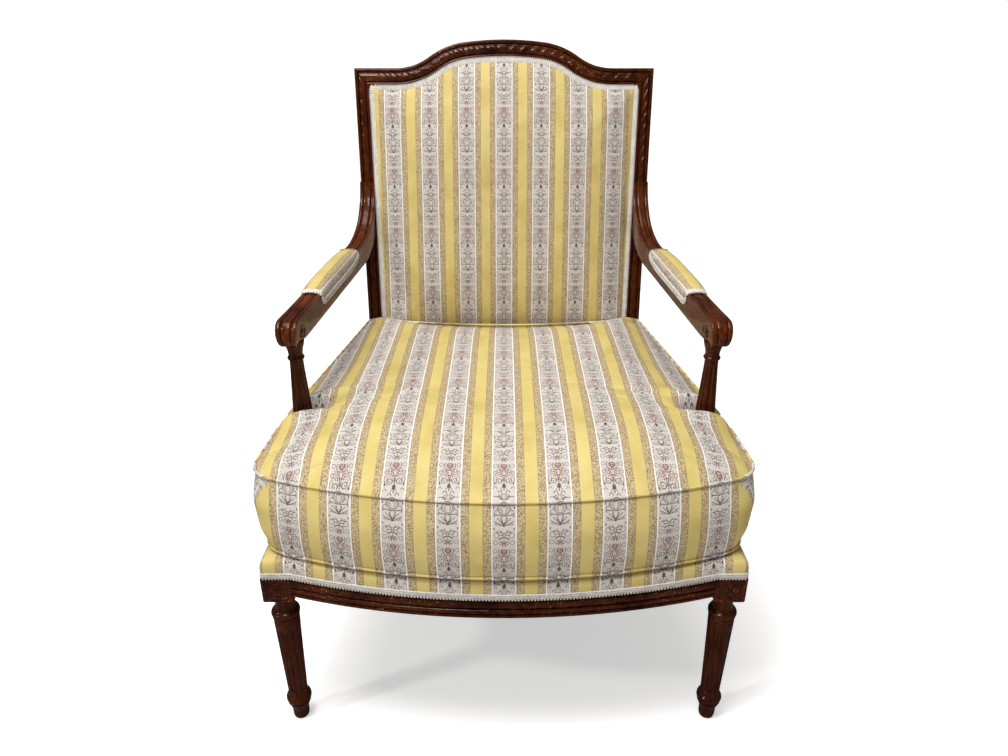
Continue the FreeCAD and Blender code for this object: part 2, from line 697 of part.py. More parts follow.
def rail_section(across, turn):
    """Moulded face up to the polished wood's top, then the rebate for the cover."""
    rest = (("wood_top - rail_bottom", "rail_thickness"), ("wood_top - rail_top", "rail_thickness"),
            ("wood_top - rail_top", "cover_rebate"), ("0", "cover_rebate"))
    return moulded("wood_top - rail_bottom", rest, across, turn)


def make_front_rail():
    body = put(new_body("front_rail_body"), 0, "%s - front_bow" % BOW_RADIUS)
    section = outline(body, "YZ_Plane", rail_section(
        lambda across, depth: ("%s - %s" % (depth, BOW_RADIUS), "wood_top - (%s)" % across), 1))
    sweep = revolve(body, section, "2 * asin(%s / (%s - rail_thickness)) + 2 deg" % (BLOCK_INNER, BOW_RADIUS))
    sweep.Midplane = True
    span = box("front_rail_span", "-%s" % BLOCK_INNER, "-front_bow - 9", "rail_bottom - 9",
               "2 * %s" % BLOCK_INNER, "front_bow + block_width + 9", "rail_top - rail_bottom + 18")
    bowed = common("front_rail_bowed", body, span)
    joined = fuse("front_rail_joined", bowed, *with_left(tenon("front_rail")))
    return cut("front_rail", joined, *with_left(peg("front_rail", True)))


def make_side_rail():
    body = put(new_body("side_rail_body"), 0, "block_width")
    section = outline(body, "XZ_Plane", rail_section(
        lambda across, depth: ("%s - (%s)" % (BLOCK_OUTER, depth), "wood_top - (%s)" % across), -1))
    extrude(body, "Pad", section, "rear_leg_face - block_width", lean=("-%s" % SPLAY, "1", "0"))
    joined = fuse("side_rail_joined", body, tenon("side_front"), tenon("side_rear"))
    return cut("side_rail", joined, peg("side_front", True), peg("side_rear", True),
               dowel_hole("side_rail_dowel_hole", "rail_top - post_block / 2 - 7", "post_block"))


def make_rear_rail():
    body = put(new_body("rear_rail_body"), 0, "rear_leg_face")
    section = [("0", "rail_bottom"), ("rear_leg_depth", "rail_bottom"), ("rear_leg_depth", "wood_top"),
               ("rear_leg_depth - cover_rebate", "wood_top"), ("rear_leg_depth - cover_rebate", "rail_top"),
               ("0", "rail_top")]
    extrude(body, "Pad", outline(body, "YZ_Plane", section), "2 * %s" % STILE_FULL_INNER, both=True)
    joined = fuse("rear_rail_joined", body, *with_left(tenon("rear_rail")))
    return cut("rear_rail", joined, *with_left(peg("rear_rail", True)))


# Back frame

def crest_section(body, place, lift=0, rise=0, angle=None):
    """The crest's moulded section in an upright plane, placed by a formula of its width."""
    return outline(body, "YZ_Plane", moulded(
        "crest_width", ledge_points("crest_width"), lambda across, depth: (depth, place % across), 1),
        lift=lift, rise=rise, turn=((1, 0, 0), angle) if angle else None)


def make_crest():
    """Arch, haunch and hollow, each turned about its own centre, and a straight shoulder."""
    body = put(new_body("crest_body"), on_back=True)
    top = "shoulder_height + arch_rise"
    inner = "(arch_radius - haunch_radius)"
    shoulder = crest_line()[3][0]
    arch = revolve(body, crest_section(body, "arch_radius - (%s)", rise="%s - arch_radius" % top),
                   "arch_angle", flat=True)
    haunch = revolve(body, crest_section(
        body, "haunch_radius - (%s)", "%s * sin(arch_angle)" % inner,
        "%s - arch_radius + %s * cos(arch_angle)" % (top, inner), "arch_angle"),
        "haunch_angle - arch_angle", flat=True)
    hollow = revolve(body, crest_section(body, "-%s - (%%s)" % HOLLOW_RADIUS, shoulder,
                                         "shoulder_height + %s" % HOLLOW_RADIUS), "haunch_angle", flat=True)
    straight = extrude(body, "Pad", crest_section(body, "shoulder_height - (%s)", shoulder),
                       "crest_half + frame_depth - (%s)" % shoulder)
    mirror(body, arch, haunch, hollow, straight)
    outside = "(crest_half + 2 * frame_depth)"
    inside, inside_height = mitre_end("2 * crest_width")
    waste = [mitre_end("-tacking_ledge"), (inside, inside_height), (outside, inside_height),
             (outside, "shoulder_height + tacking_ledge")]
    mirror(body, extrude(body, "Pocket", outline(body, "XZ_Plane", waste), None, both=True))
    return cut("crest", body, *with_left(tenon("crest", True), peg("crest", True)))


def mitre_end(drop):
    """A point of the corner mitre, so far below the crest's shoulder."""
    return ("crest_half - (%s) * stile_width / crest_width" % drop, "shoulder_height - (%s)" % drop)


def make_stile():
    """Rear leg and raked stile in one piece of wood."""
    leg = put(new_body("rear_leg_body"), 0, "rear_leg_face")
    inner, outer = STILE_FULL_INNER, "rear_outer"
    top = [(inner, "0"), (outer, "0"), (outer, "rear_leg_depth"), (inner, "rear_leg_depth")]
    foot = [("rear_outer - rear_foot_width", "rear_foot_back"), (outer, "rear_foot_back"),
            (outer, "rear_foot_back + rear_foot_width"),
            ("rear_outer - rear_foot_width", "rear_foot_back + rear_foot_width")]
    extrude(leg, "Pad", outline(leg, "XY_Plane", top, lift="rear_leg_knee"), "stile_start - rear_leg_knee")
    loft(leg, "AdditiveLoft", outline(leg, "XY_Plane", foot),
         outline(leg, "XY_Plane", top, lift="rear_leg_knee"))
    stile = put(new_body("stile_body"), on_back=True)
    section = outline(stile, "XY_Plane", moulded(
        "stile_width", ledge_points("stile_width"),
        lambda across, depth: ("rear_outer * cos(%s) - (%s)" % (FLARE_ANGLE, across), depth), -1),
        lift="min(%s * sin(%s); rear_outer * sin(%s))" % (STILE_FULL_INNER, FLARE_ANGLE, FLARE_ANGLE),
        turn=((0, 1, 0), FLARE_ANGLE))
    extrude(stile, "Pad", section, "shoulder_height + crest_width")
    low, low_height = mitre_end("2 * crest_width")
    high, high_height = mitre_end("-tacking_ledge")
    ceiling = "shoulder_height + crest_width"
    waste = [(low, low_height), (high, high_height), (high, ceiling), (low, ceiling)]
    extrude(stile, "Pocket", outline(stile, "XZ_Plane", waste), None, both=True)
    whole = fuse("stile_joined", leg, stile, tenon("crest"))
    tools = [tenon(name, True) for name in ("low_rail", "side_rear", "rear_rail")]
    tools += [peg(name, True) for name in ("crest", "low_rail", "side_rear", "rear_rail")]
    return cut("back_stile", whole, *tools, *(arm_screw(row, 0.1) for row in range(2)))


def make_low_back_rail():
    body = put(new_body("low_back_rail_body"), on_back=True)
    section = outline(body, "YZ_Plane", moulded(
        "crest_width", ledge_points("crest_width"),
        lambda across, depth: (depth, "low_rail_bottom + %s" % across), -1))
    extrude(body, "Pad", section, "2 * %s" % LOW_RAIL_END, both=True)
    joined = fuse("low_back_rail_joined", body, *with_left(tenon("low_rail")))
    return cut("low_back_rail", joined, *with_left(peg("low_rail", True)))


# Arms

RISE_MIDDLE = "(%s + arm_gentle_radius * (1 - cos(arm_gentle_angle)))" % ARM_TOP
RISE_TOP = "(%s + arm_steep_radius * (cos(arm_gentle_angle) - sin(back_rake)))" % RISE_MIDDLE
RISE_DEPTH = "(rear_leg_face - post_depth + (%s - stile_start) * tan(back_rake))" % RISE_TOP
ARM_TOE = "atan((post_centre - arm_seat - arm_width / 2 - %s) / %s)" % (
    stile_inner("(%s - stile_start) / cos(back_rake)" % RISE_TOP), RISE_DEPTH)


def arm_end(height):
    """Where the arm meets the face of the stile, along the arm from its support."""
    return "((rear_leg_face - post_depth + (%s - stile_start) * tan(back_rake)) / cos(%s))" % (height, ARM_TOE)


STEEP_START = "(%s - arm_steep_radius * (cos(back_rake) - sin(arm_gentle_angle)))" % arm_end(RISE_TOP)
RISE_START = "(%s - arm_gentle_radius * sin(arm_gentle_angle))" % STEEP_START
ROOT_TOP = "(arm_underside + arm_root_rise)"
ROOT_START = ("(%s - sqrt(arm_root_radius ^ 2 - (arm_root_radius - arm_root_rise) ^ 2))" % arm_end(ROOT_TOP))


def arm_top_line(inset="0"):
    """The arm's top from the front of the hand back to the stile, moved inward by inset."""
    return [
        ("-arm_reach + (%s)" % inset, "arm_underside + hand_lip"),
        ("-arm_reach + (%s)" % inset, "%s - hand_radius" % ARM_TOP, "hand_radius - (%s)" % inset, -1),
        ("hand_radius - arm_reach", "%s - (%s)" % (ARM_TOP, inset)),
        (RISE_START, "%s - (%s)" % (ARM_TOP, inset), "arm_gentle_radius + (%s)" % inset, 1),
        ("%s + (%s) * sin(arm_gentle_angle)" % (STEEP_START, inset),
         "%s - (%s) * cos(arm_gentle_angle)" % (RISE_MIDDLE, inset), "arm_steep_radius + (%s)" % inset, 1),
        ("%s + (%s) * cos(back_rake)" % (arm_end(RISE_TOP), inset),
         "%s - (%s) * sin(back_rake)" % (RISE_TOP, inset)),
    ]


def backwards(line):
    """The same open line from its other end."""
    turned = [line[-1][:2]]
    for point in reversed(line[:-1]):
        if len(point) == 4:
            turned[-1] += (point[2], -point[3])
        turned.append(point[:2])
    return turned


def arm_side():
    """Side of the arm, with its root run a little way into the stile."""
    bite = "front_rebate"
    top = backwards(arm_top_line())
    top[-1] += ("hand_lip", 1)
    return [
        ("hand_lip - arm_reach", "arm_underside"),
        (ROOT_START, "arm_underside", "arm_root_radius", 1),
        (arm_end(ROOT_TOP), ROOT_TOP),
        ("%s + %s" % (arm_end(ROOT_TOP), bite), ROOT_TOP),
        ("%s + %s" % (arm_end(RISE_TOP), bite), RISE_TOP),
    ] + top


def put_on_arm(thing, z=0):
    return put(thing, "post_centre", "post_depth", z, (0, 0, 1), ARM_TOE)


def make_arm(stile):
    body = put_on_arm(new_body("arm_body"))
    extrude(body, "Pad", outline(body, "YZ_Plane", arm_side()), "arm_width", both=True)
    groove = arm_top_line("-0.3") + backwards(arm_top_line("quirk_depth"))
    sketch = outline(body, "YZ_Plane", groove, lift="arm_width / 2 - edge_bead")
    mirror(body, extrude(body, "Pocket", sketch, "quirk"))
    tools = [stile, dowel_hole("arm_dowel_hole", "arm_underside - 1", "arm_height / 3 + 2")]
    return cut("arm", body, *tools, *(arm_screw(row, 0.1) for row in range(2)))


def arm_screw(row, clearance=0):
    """Screws driven through the stile into the arm's root."""
    height = "(%s + (%s) * (%s - %s) - stile_start) / cos(back_rake)" % (
        ROOT_TOP, 0.12 + 0.22 * row, RISE_TOP, ROOT_TOP)
    x = "rear_outer + %s * (%s) - stile_width / 2" % (FLARE, height)
    shank = rod("arm_screw_shank", x, "-frame_depth", height, "screw_radius + %s" % clearance,
                "1.8 * frame_depth", "y", True, "screw_sides")
    head = rod("arm_screw_head", x, "0.8 * frame_depth", height, "2 * screw_radius + %s" % clearance,
               "0.2 * frame_depth", "y", True, "screw_sides")
    return fuse("arm_screw", shank, head)


# Arm pads

PAD_HALF = "(arm_width / 2 + fabric + 1)"
PAD_END = "(arm_pad_start + arm_pad_length)"


def pad_arch(grow, foot):
    """Across the arm pad: flat sides and an arched top."""
    half = "(%s + (%s))" % (PAD_HALF, grow)
    side_top = "%s + 2 + (%s)" % (ARM_TOP, grow)
    return [("-%s" % half, foot), (half, foot),
            (half, side_top, bead_radius("2 * %s" % half, "arm_pad_crown - 2"), 1), ("-%s" % half, side_top)]


def pad_side(grow=0):
    """Along the arm pad: a flap down the side that runs out to the rear, and a crowned top."""
    start, end = "(arm_pad_start - (%s))" % grow, "(%s + (%s))" % (PAD_END, grow)
    low = "(%s - arm_pad_flap - (%s))" % (ARM_TOP, grow)
    end_top = "%s + 3 + (%s)" % (ARM_TOP, grow)
    return [(start, low), ("%s + 0.7 * arm_pad_length" % start, low, "0.8 * arm_pad_length", 1),
            (end, "%s - 4" % ARM_TOP), (end, end_top, bead_radius("arm_pad_length", "arm_pad_crown - 4"), 1),
            (start, end_top)]


def arm_room(name, grow):
    """The arm inside its pad, with clearance."""
    room = put_on_arm(new_body(name))
    half = "(arm_width / 2 + (%s))" % grow
    section = [("-%s" % half, "arm_underside"), (half, "arm_underside"), (half, "%s + (%s)" % (ARM_TOP, grow)),
               ("-%s" % half, "%s + (%s)" % (ARM_TOP, grow))]
    extrude(room, "Pad", outline(room, "XZ_Plane", section, lift="-2 * %s" % PAD_END), "3 * %s" % PAD_END)
    return room


def pad_prism(name, grow, start, length, foot="arm_underside"):
    body = put_on_arm(new_body(name))
    section = outline(body, "XZ_Plane", pad_arch(grow, foot), lift="-(%s)" % start)
    extrude(body, "Pad", section, length, flip=True)
    return body


def side_prism(name, corners):
    body = put_on_arm(new_body(name))
    extrude(body, "Pad", outline(body, "YZ_Plane", corners), "2 * arm_width", both=True)
    return body


def make_arm_pad():
    across = pad_prism("arm_pad_across", "0", "arm_pad_start", "arm_pad_length")
    along = side_prism("arm_pad_along", pad_side())
    return cut("arm_pad", common("arm_pad_whole", across, along), arm_room("arm_pad_room", "soft_gap"))


def make_arm_gimp():
    """Braid round the pad's edge: down both ends and along both flaps."""
    gap = "0.2"
    thick = "%s + gimp_thickness" % gap
    width = "0.6 * gimp_height"
    shell = cut("arm_gimp_shell", pad_prism("arm_gimp_outer", thick, "arm_pad_start - 2", "arm_pad_length + 4"),
                pad_prism("arm_gimp_inner", gap, "arm_pad_start - 9", "arm_pad_length + 18"))
    band = cut("arm_gimp_band", side_prism("arm_gimp_edge", pad_side("2")),
               side_prism("arm_gimp_window", window_side(width)))
    ends = [arm_strip("arm_gimp_front", "arm_pad_start - gimp_thickness - 0.2"),
            arm_strip("arm_gimp_rear", "%s + 0.2" % PAD_END)]
    strips = cut("arm_gimp_sides", common("arm_gimp_strip", shell, band), arm_room("arm_gimp_room", "soft_gap"))
    return fuse("arm_gimp", strips, *ends)


def arm_strip(name, start):
    """The braid over the arm at one end of its pad."""
    body = put_on_arm(new_body(name))
    half = "(%s + 0.2)" % PAD_HALF
    low, high = "%s + soft_gap" % ARM_TOP, "%s + 4" % ARM_TOP
    section = [("-%s" % half, low), (half, low), (half, high), ("-%s" % half, high)]
    extrude(body, "Pad", outline(body, "XZ_Plane", section, lift="-(%s)" % start), "gimp_thickness", flip=True)
    return body


def window_side(width):
    """What the braid leaves open along the pad."""
    start, end = "(arm_pad_start + %s)" % width, "(%s - %s)" % (PAD_END, width)
    low = "(%s - arm_pad_flap + %s)" % (ARM_TOP, width)
    high = "%s + 2 * arm_pad_crown" % ARM_TOP
    return [(start, low), ("%s + 0.64 * arm_pad_length" % start, low, "0.8 * arm_pad_length", 1),
            (end, "%s + 3" % ARM_TOP), (end, high), (start, high)]


# Seat

def seat_plan(inset, rear):
    """Plan of the seat moved inward by inset; rear holds the corners at its right rear."""
    side = "%s - (%s)" % (BLOCK_OUTER, inset)
    corners = mirrored_outline([(BLOCK_INNER, inset), (side, inset), (side, "block_width")] + list(rear))
    corners[-1] += (BOW_RADIUS, 1)
    return corners


def rear_corner(inset, gap):
    """Corners round the stile, gap clear of it."""
    inner = "%s - (%s)" % (STILE_FULL_INNER, gap)
    face = "rear_leg_face - (%s)" % gap
    return [("rear_outer - (%s)" % inset, face), (inner, face),
            (inner, "rear_leg_face + rear_leg_depth - (%s)" % inset)]


def plan_prism(name, corners, z, height):
    body = put(new_body(name), 0, 0, z)
    extrude(body, "Pad", outline(body, "XY_Plane", corners), height)
    return body


def post_hole(name):
    """Room for the foot of the arm support in the seat's covers."""
    half = "(post_block / 2 + soft_gap)"
    return box(name, "post_centre - %s" % half, "post_depth - %s" % half, "rail_top", "2 * %s" % half,
               "2 * %s" % half, "post_block_height")


def make_corner_brace(name, corners):
    return plan_prism(name, corners, "rail_bottom + 4", "brace_height")


def inner_side(depth):
    return ("%s - rail_thickness - soft_gap" % side_face(depth), depth)


def behind_front_rail(x):
    return (x, "%s - front_bow - sqrt((%s - rail_thickness) ^ 2 - (%s) ^ 2) + soft_gap"
            % (BOW_RADIUS, BOW_RADIUS, x))


def seat_strap(number, x, y, z, length, width):
    return box("seat_strap_%d" % number, x, y, z, length, width, "webbing")


def make_seat_webbing():
    """Straps from side to side under straps from front to back, with their ends on the rails."""
    pieces = []
    lateral = [(2 * step - 1) / 2 for step in range(-3, 5)]
    for number, step in enumerate(lateral):
        middle = "((rear_leg_face - front_bow) / 2 + %s * strap_pitch * 1.12)" % step
        pieces.append(seat_strap(number, "-leg_centre", "%s - strap_width / 2" % middle, "rail_top",
                                 "2 * leg_centre", "strap_width"))
    for number in range(-3, 4):
        pieces.append(seat_strap(number + 20, "%d * strap_pitch * 1.15 - strap_width / 2" % number, "-front_bow",
                                 "rail_top + webbing", "strap_width", "rear_leg_face + 2 * front_bow"))
    inset = "rail_thickness / 2"
    span = plan_prism("seat_webbing_span", seat_plan(inset, rear_corner(inset, "soft_gap")), "rail_top - 1",
                      "2 * webbing + 2")
    straps = common("seat_webbing_laid", span, fuse("seat_straps", *pieces))
    return cut("seat_webbing", straps, *with_left(post_hole("seat_webbing_hole")))


def make_seat_covers():
    """Hessian, pad, top cover and braid of the fixed seat, and the dust cover below."""
    above = "(rail_top + 2 * webbing)"
    inset = "rail_thickness / 2"
    keep("seat_webbing", make_seat_webbing())
    hessian = plan_prism("seat_hessian_body", seat_plan(inset, rear_corner(inset, "soft_gap")), above, "webbing")
    keep("seat_hessian", cut("seat_hessian", hessian, *with_left(post_hole("seat_hessian_hole"))))
    pad_foot = "(%s + webbing + soft_gap)" % above
    pad = plan_prism("platform_pad_body", seat_plan("cover_rebate", rear_corner("cover_rebate", "soft_gap + 1")),
                     pad_foot, "platform_crown - fabric - soft_gap - %s" % pad_foot)
    keep("platform_pad", cut("platform_pad", pad, *with_left(post_hole("platform_pad_hole"))))
    outside = "(cover_rebate - fabric - soft_gap)"
    inside = "(cover_rebate - soft_gap)"
    foot = "(wood_top + soft_gap)"
    shell = plan_prism("platform_shell", seat_plan(outside, rear_corner(outside, "soft_gap")), foot,
                       "platform_crown - %s" % foot)
    room = plan_prism("platform_room", seat_plan(inside, rear_corner(inside, "-1")), "rail_bottom",
                      "platform_crown - fabric - rail_bottom")
    holes = with_left(post_hole("platform_cover_hole"))
    keep("platform_cover", cut("platform_cover", shell, room, *holes))
    braid_inside = "(%s - 0.2)" % outside
    braid_outside = "(%s - gimp_thickness)" % braid_inside
    band = plan_prism("seat_gimp_outer", seat_plan(braid_outside, [
        ("rear_outer - %s" % braid_outside, "rear_leg_face - soft_gap")]), foot, "gimp_height - soft_gap")
    core = plan_prism("seat_gimp_inner", seat_plan(braid_inside, [
        ("%s - %s" % (side_face("rear_leg_face + 9"), braid_inside), "rear_leg_face + 9")]), "rail_bottom",
                      "rail_top - rail_bottom")
    keep("seat_gimp", cut("seat_gimp", band, core))
    margin = "6"
    dust = mirrored_outline([
        ("%s - soft_gap" % BLOCK_INNER, margin), ("%s - soft_gap" % BLOCK_INNER, "block_width + soft_gap"),
        ("%s - %s" % (BLOCK_OUTER, margin), "block_width + soft_gap")] + rear_corner(margin, "soft_gap"))
    dust[-1] += (BOW_RADIUS, 1)
    keep("dust_cover", plan_prism("dust_cover", dust, "rail_bottom - webbing", "webbing"))


# Back upholstery, in the plane of the back

def back_prism(name, corners, front, rear):
    """A sheet between two depths of the back."""
    body = put(new_body(name), on_back=True)
    extrude(body, "Pad", outline(body, "XZ_Plane", corners, lift="-(%s)" % rear), "(%s) - (%s)" % (rear, front))
    return body


def back_ring(name, front, rear):
    outer = back_prism(name + "_outer", back_outline("soft_gap"), front, rear)
    inner = back_prism(name + "_inner", back_outline("0.8 * gimp_height"), "(%s) - 3" % front, "(%s) + 3" % rear)
    return cut(name, outer, inner)


def make_back_webbing():
    pieces = []
    for number in range(4):
        middle = "%s * 2 * strap_pitch" % (number - 1.5)
        pieces.append(box("back_strap_%d" % number, "%s - strap_width / 2" % middle, "front_rebate - webbing",
                          "low_rail_bottom + crest_width", "strap_width", "webbing",
                          "shoulder_height + arch_rise", on_back=True))
    for number in range(6):
        foot = "low_rail_bottom + crest_width + 20 + %d * 1.35 * strap_pitch" % number
        pieces.append(box("back_strap_%d" % (number + 10), "-crest_half", "front_rebate - 2 * webbing", foot,
                          "2 * crest_half", "webbing", "strap_width", on_back=True))
    span = back_prism("back_webbing_span", back_outline("2 * soft_gap"), "0", "front_rebate + 1")
    return common("back_webbing", span, fuse("back_straps", *pieces))


# share of the outline, share of the swell ahead of the frame
BACK_SWELL = ((0.965, 0.03), (0.95, 0.18), (0.9, 0.4), (0.8, 0.64), (0.64, 0.85), (0.4, 1))


def section_wire(corners, lift=0):
    """A wire through corners, for the crowned pieces that no sketch can describe."""
    wire = Part.Wire([curve.toShape() for curve in edge_curves(corners)])
    wire.translate(Vector(0, 0, lift))
    return wire


def stacked(name, wires):
    """A solid that runs straight from each wire to the next."""
    form = doc.addObject("Part::Feature", name)
    form.Shape = Part.makeLoft(wires, True, True)
    return form


def make_back_pad():
    """A stuffed pad that swells from the moulding to the middle of the back."""
    rim = section_wire(back_outline("soft_gap"))
    centre = Vector(0, amount("(low_rail_bottom + shoulder_height + 0.5 * arch_rise) / 2"), 0)
    rear = amount("front_rebate - 3 * webbing - soft_gap")
    levels = [(1, rear), (1, -amount("0.8"))]
    levels += [(scale, -swell * amount("back_crown")) for scale, swell in BACK_SWELL]
    wires = []
    for scale, depth in levels:
        wire = rim.copy()
        wire.scale(scale, centre)
        wire.rotate(Vector(0, 0, 0), Vector(1, 0, 0), 90)
        wire.translate(Vector(0, depth, 0))
        wires.append(wire)
    return put(stacked("back_pad", wires), on_back=True)


def make_back_covers():
    """Webbing, hessian, pad and braid in front, and the outside panel with its braid."""
    keep("back_webbing", make_back_webbing())
    keep("back_hessian", back_prism("back_hessian", back_outline("2 * soft_gap"), "front_rebate - 3 * webbing",
                                    "front_rebate - 2 * webbing"))
    keep("back_pad", make_back_pad())
    keep("back_gimp", back_ring("back_gimp", "-gimp_thickness - 0.8", "-1.1"))
    rear = "(frame_depth - rear_rebate)"
    keep("outside_back_panel", back_prism("outside_back_panel", back_outline("soft_gap"), rear,
                                          "%s + fabric" % rear))
    keep("outside_back_gimp", back_ring("outside_back_gimp", "%s + fabric + 0.1" % rear, "frame_depth + 0.2"))


# Loose cushion

# height, swell of the front edge, pull-in of the sides, of the notch and of the rear edge
CUSHION_LEVELS = (
    ("cushion_floor", 2, 25, 10, 2),
    ("cushion_low_seam", 17, 11, 0, 0),
    ("cushion_low_seam + 26", 23, 3, 0, 0),
    ("cushion_high_seam - 38", 19, -3, 0, 0),
    ("cushion_high_seam", 0, 0, 0, 0),
    ("cushion_high_seam + 0.4 * cushion_crown", -20, 20, 10, 14),
    ("cushion_high_seam + 0.72 * cushion_crown", -55, 55, 20, 40),
    ("cushion_high_seam + cushion_crown", -100, 100, 65, 80),
)


def cushion_plan(height, swell, pull, notch_pull, rear_pull, grow="0"):
    """Outline of the cushion at one level: bowed front, notches for the arm supports, hollow rear."""
    half = "(cushion_half - (%s) + (%s))" % (pull, grow)
    apex = "(-cushion_front - (%s) - (%s))" % (swell, grow)
    corner_x = "((%s - cushion_corner) / (1 - cushion_corner / cushion_front_radius))" % half
    corner_y = "(%s + cushion_front_radius - sqrt(cushion_front_radius ^ 2 - %s ^ 2))" % (apex, corner_x)
    side_y = "(%s + cushion_corner * cos(asin(%s / cushion_front_radius)))" % (corner_y, corner_x)
    notch_x = "(post_centre - post_vase_radius - post_gap - (%s) + (%s))" % (notch_pull, grow)
    reach = "(post_vase_radius + notch_gap - (%s))" % grow
    rear_half = "(cushion_rear_half - 0.85 * (%s) + (%s))" % (pull, grow)
    raked = "rear_leg_face + (%s - stile_start) * tan(back_rake) - 1.5" % height
    rear = "(min(cushion_rear; %s) - (%s) + (%s) / 3)" % (raked, rear_pull, grow)
    round_ = "(cushion_corner / 3)"
    hollow_half = "(%s - %s)" % (rear_half, round_)
    hollow = "((%s ^ 2 + cushion_hollow ^ 2) / (2 * cushion_hollow))" % hollow_half
    right = [
        (corner_x, corner_y, "cushion_corner", 1),
        (half, side_y),
        ("%s - 4" % half, "post_depth - %s" % reach),
        (notch_x, "post_depth - %s" % reach),
        (notch_x, "post_depth + %s" % reach),
        ("%s - 9" % half, "post_depth + %s" % reach),
        (rear_half, "%s - %s" % (rear, round_), "1.05 * %s" % round_, 1),
        (hollow_half, rear, hollow, -1),
    ]
    left = [("-%s" % hollow_half, rear, "1.05 * %s" % round_, 1),
            ("-%s" % rear_half, "%s - %s" % (rear, round_))]
    left += [("-(%s)" % point[0], point[1]) for point in reversed(right[1:6])]
    left[-1] += ("cushion_corner", 1)
    left.append(("-(%s)" % corner_x, corner_y, "cushion_front_radius", 1))
    return right + left


def make_cushion():
    wires = [section_wire(cushion_plan(*level), amount(level[0])) for level in CUSHION_LEVELS]
    return put(stacked("cushion_body", wires))


def make_welt(name, level, foot, gap):
    """A cord of fabric round a seam of the cushion."""
    outer = plan_prism(name + "_outer", cushion_plan(*level, grow="%s + 0.6 * welt" % gap), foot, "0.85 * welt")
    inner = plan_prism(name + "_inner", cushion_plan(*level, grow=gap), "%s - 3" % foot, "2 * welt")
    return cut(name, outer, inner)


# Every sub-part

stile = make_stile()
keep_pair("back_stile", stile)
keep("crest_rail", make_crest())
keep("back_lower_rail", make_low_back_rail())
keep_pair("front_leg", make_front_leg())
keep("front_seat_rail", make_front_rail())
keep_pair("side_seat_rail", make_side_rail())
keep("rear_seat_rail", make_rear_rail())
keep_pair("arm_support", make_arm_support())
keep_pair("arm", make_arm(stile))
keep("arm_screws", group("arm_screws", with_left(arm_screw(0), arm_screw(1))))
keep("frame_pegs", group("frame_pegs", with_left(*(peg(name) for name in PEGS))))
keep_pair("front_corner_brace", make_corner_brace("front_brace", [
    behind_front_rail("%s - block_width" % BLOCK_INNER), inner_side("2.2 * block_width"),
    inner_side("3 * block_width"), behind_front_rail("%s - 1.8 * block_width" % BLOCK_INNER)]))
keep_pair("rear_corner_brace", make_corner_brace("rear_brace", [
    inner_side("rear_leg_face - 1.7 * block_width"), inner_side("rear_leg_face - block_width"),
    ("%s - 0.4 * block_width" % STILE_FULL_INNER, "rear_leg_face - soft_gap"),
    ("%s - 1.2 * block_width" % STILE_FULL_INNER, "rear_leg_face - soft_gap")]))
make_seat_covers()
make_back_covers()
keep_pair("arm_pad", make_arm_pad())
keep_pair("arm_gimp", make_arm_gimp())
keep("cushion_body", make_cushion())
keep("cushion_welt_bottom", make_welt("low_welt", CUSHION_LEVELS[1], "cushion_low_seam - 0.8 * welt",
                                      "2 * soft_gap"))
keep("cushion_welt_top", make_welt("high_welt", CUSHION_LEVELS[4], "cushion_high_seam - 0.2 * welt",
                                   "3 * soft_gap"))
doc.recompute()

for item in doc.Objects:
    if "Invalid" in item.State or "Error" in item.State:
        raise RuntimeError("%s could not be rebuilt" % item.Label)
for name, piece in nodes.items():
    if piece.Shape.isNull() or not piece.Shape.isValid() or not piece.Shape.Solids:
        raise RuntimeError("%s has no sound shape" % name)

os.makedirs("parts", exist_ok=True)
for name, piece in nodes.items():
    piece.Shape.exportStep("parts/%s.step" % name)
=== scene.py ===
import math
from functools import partial

import bmesh
import bpy
import numpy as np
from mathutils import Matrix, Vector, noise


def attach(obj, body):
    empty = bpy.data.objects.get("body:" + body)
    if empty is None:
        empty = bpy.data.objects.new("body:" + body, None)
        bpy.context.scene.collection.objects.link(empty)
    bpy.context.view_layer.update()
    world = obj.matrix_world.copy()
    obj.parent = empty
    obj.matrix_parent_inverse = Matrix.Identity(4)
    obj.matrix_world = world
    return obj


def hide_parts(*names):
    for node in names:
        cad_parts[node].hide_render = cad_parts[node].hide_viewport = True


# Open armchair in carved dark wood and striped silk. Sizes are written in millimetres, with depths
# from the front faces of the front leg blocks, as the part's source has them, and placed in metres.
# The right side is the +X side. Paired pieces are built on the right and copied to the left.

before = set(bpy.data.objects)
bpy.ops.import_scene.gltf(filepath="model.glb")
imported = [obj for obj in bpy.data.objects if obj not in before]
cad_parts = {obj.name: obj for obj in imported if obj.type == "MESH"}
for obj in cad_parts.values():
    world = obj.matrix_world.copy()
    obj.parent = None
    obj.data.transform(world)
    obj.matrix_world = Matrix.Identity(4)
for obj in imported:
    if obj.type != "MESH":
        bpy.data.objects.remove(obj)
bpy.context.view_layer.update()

MM = 0.001
SETBACK = 366
BACK_RAKE = math.radians(12.4)
REAR_FACE = 610
STILE_START = 308

CREST_HALF = 286
SHOULDER = 594
CREST_WIDTH = 32
STILE_WIDTH = 28.5
REAR_OUTER = 274
FLARE = (CREST_HALF - REAR_OUTER) / SHOULDER
FRAME_DEPTH = 30
LEDGE = 9.5
LOW_RAIL = 36

BLOCK_INNER, BLOCK_OUTER = 291.5, 333.5
FRONT_BOW = 42
BOW_RADIUS = (BLOCK_INNER ** 2 + FRONT_BOW ** 2) / (2 * FRONT_BOW)
WOOD_TOP, RAIL_TOP = 280, 298
SPLAY = (BLOCK_OUTER - REAR_OUTER) / (REAR_FACE - 42)

POST_X, POST_Y = 302, 190
ARM_UNDER, ARM_TOP = 553, 591
ARM_TOE = math.atan((POST_X - 0.5 - 15 - 253.2) / 501.6)

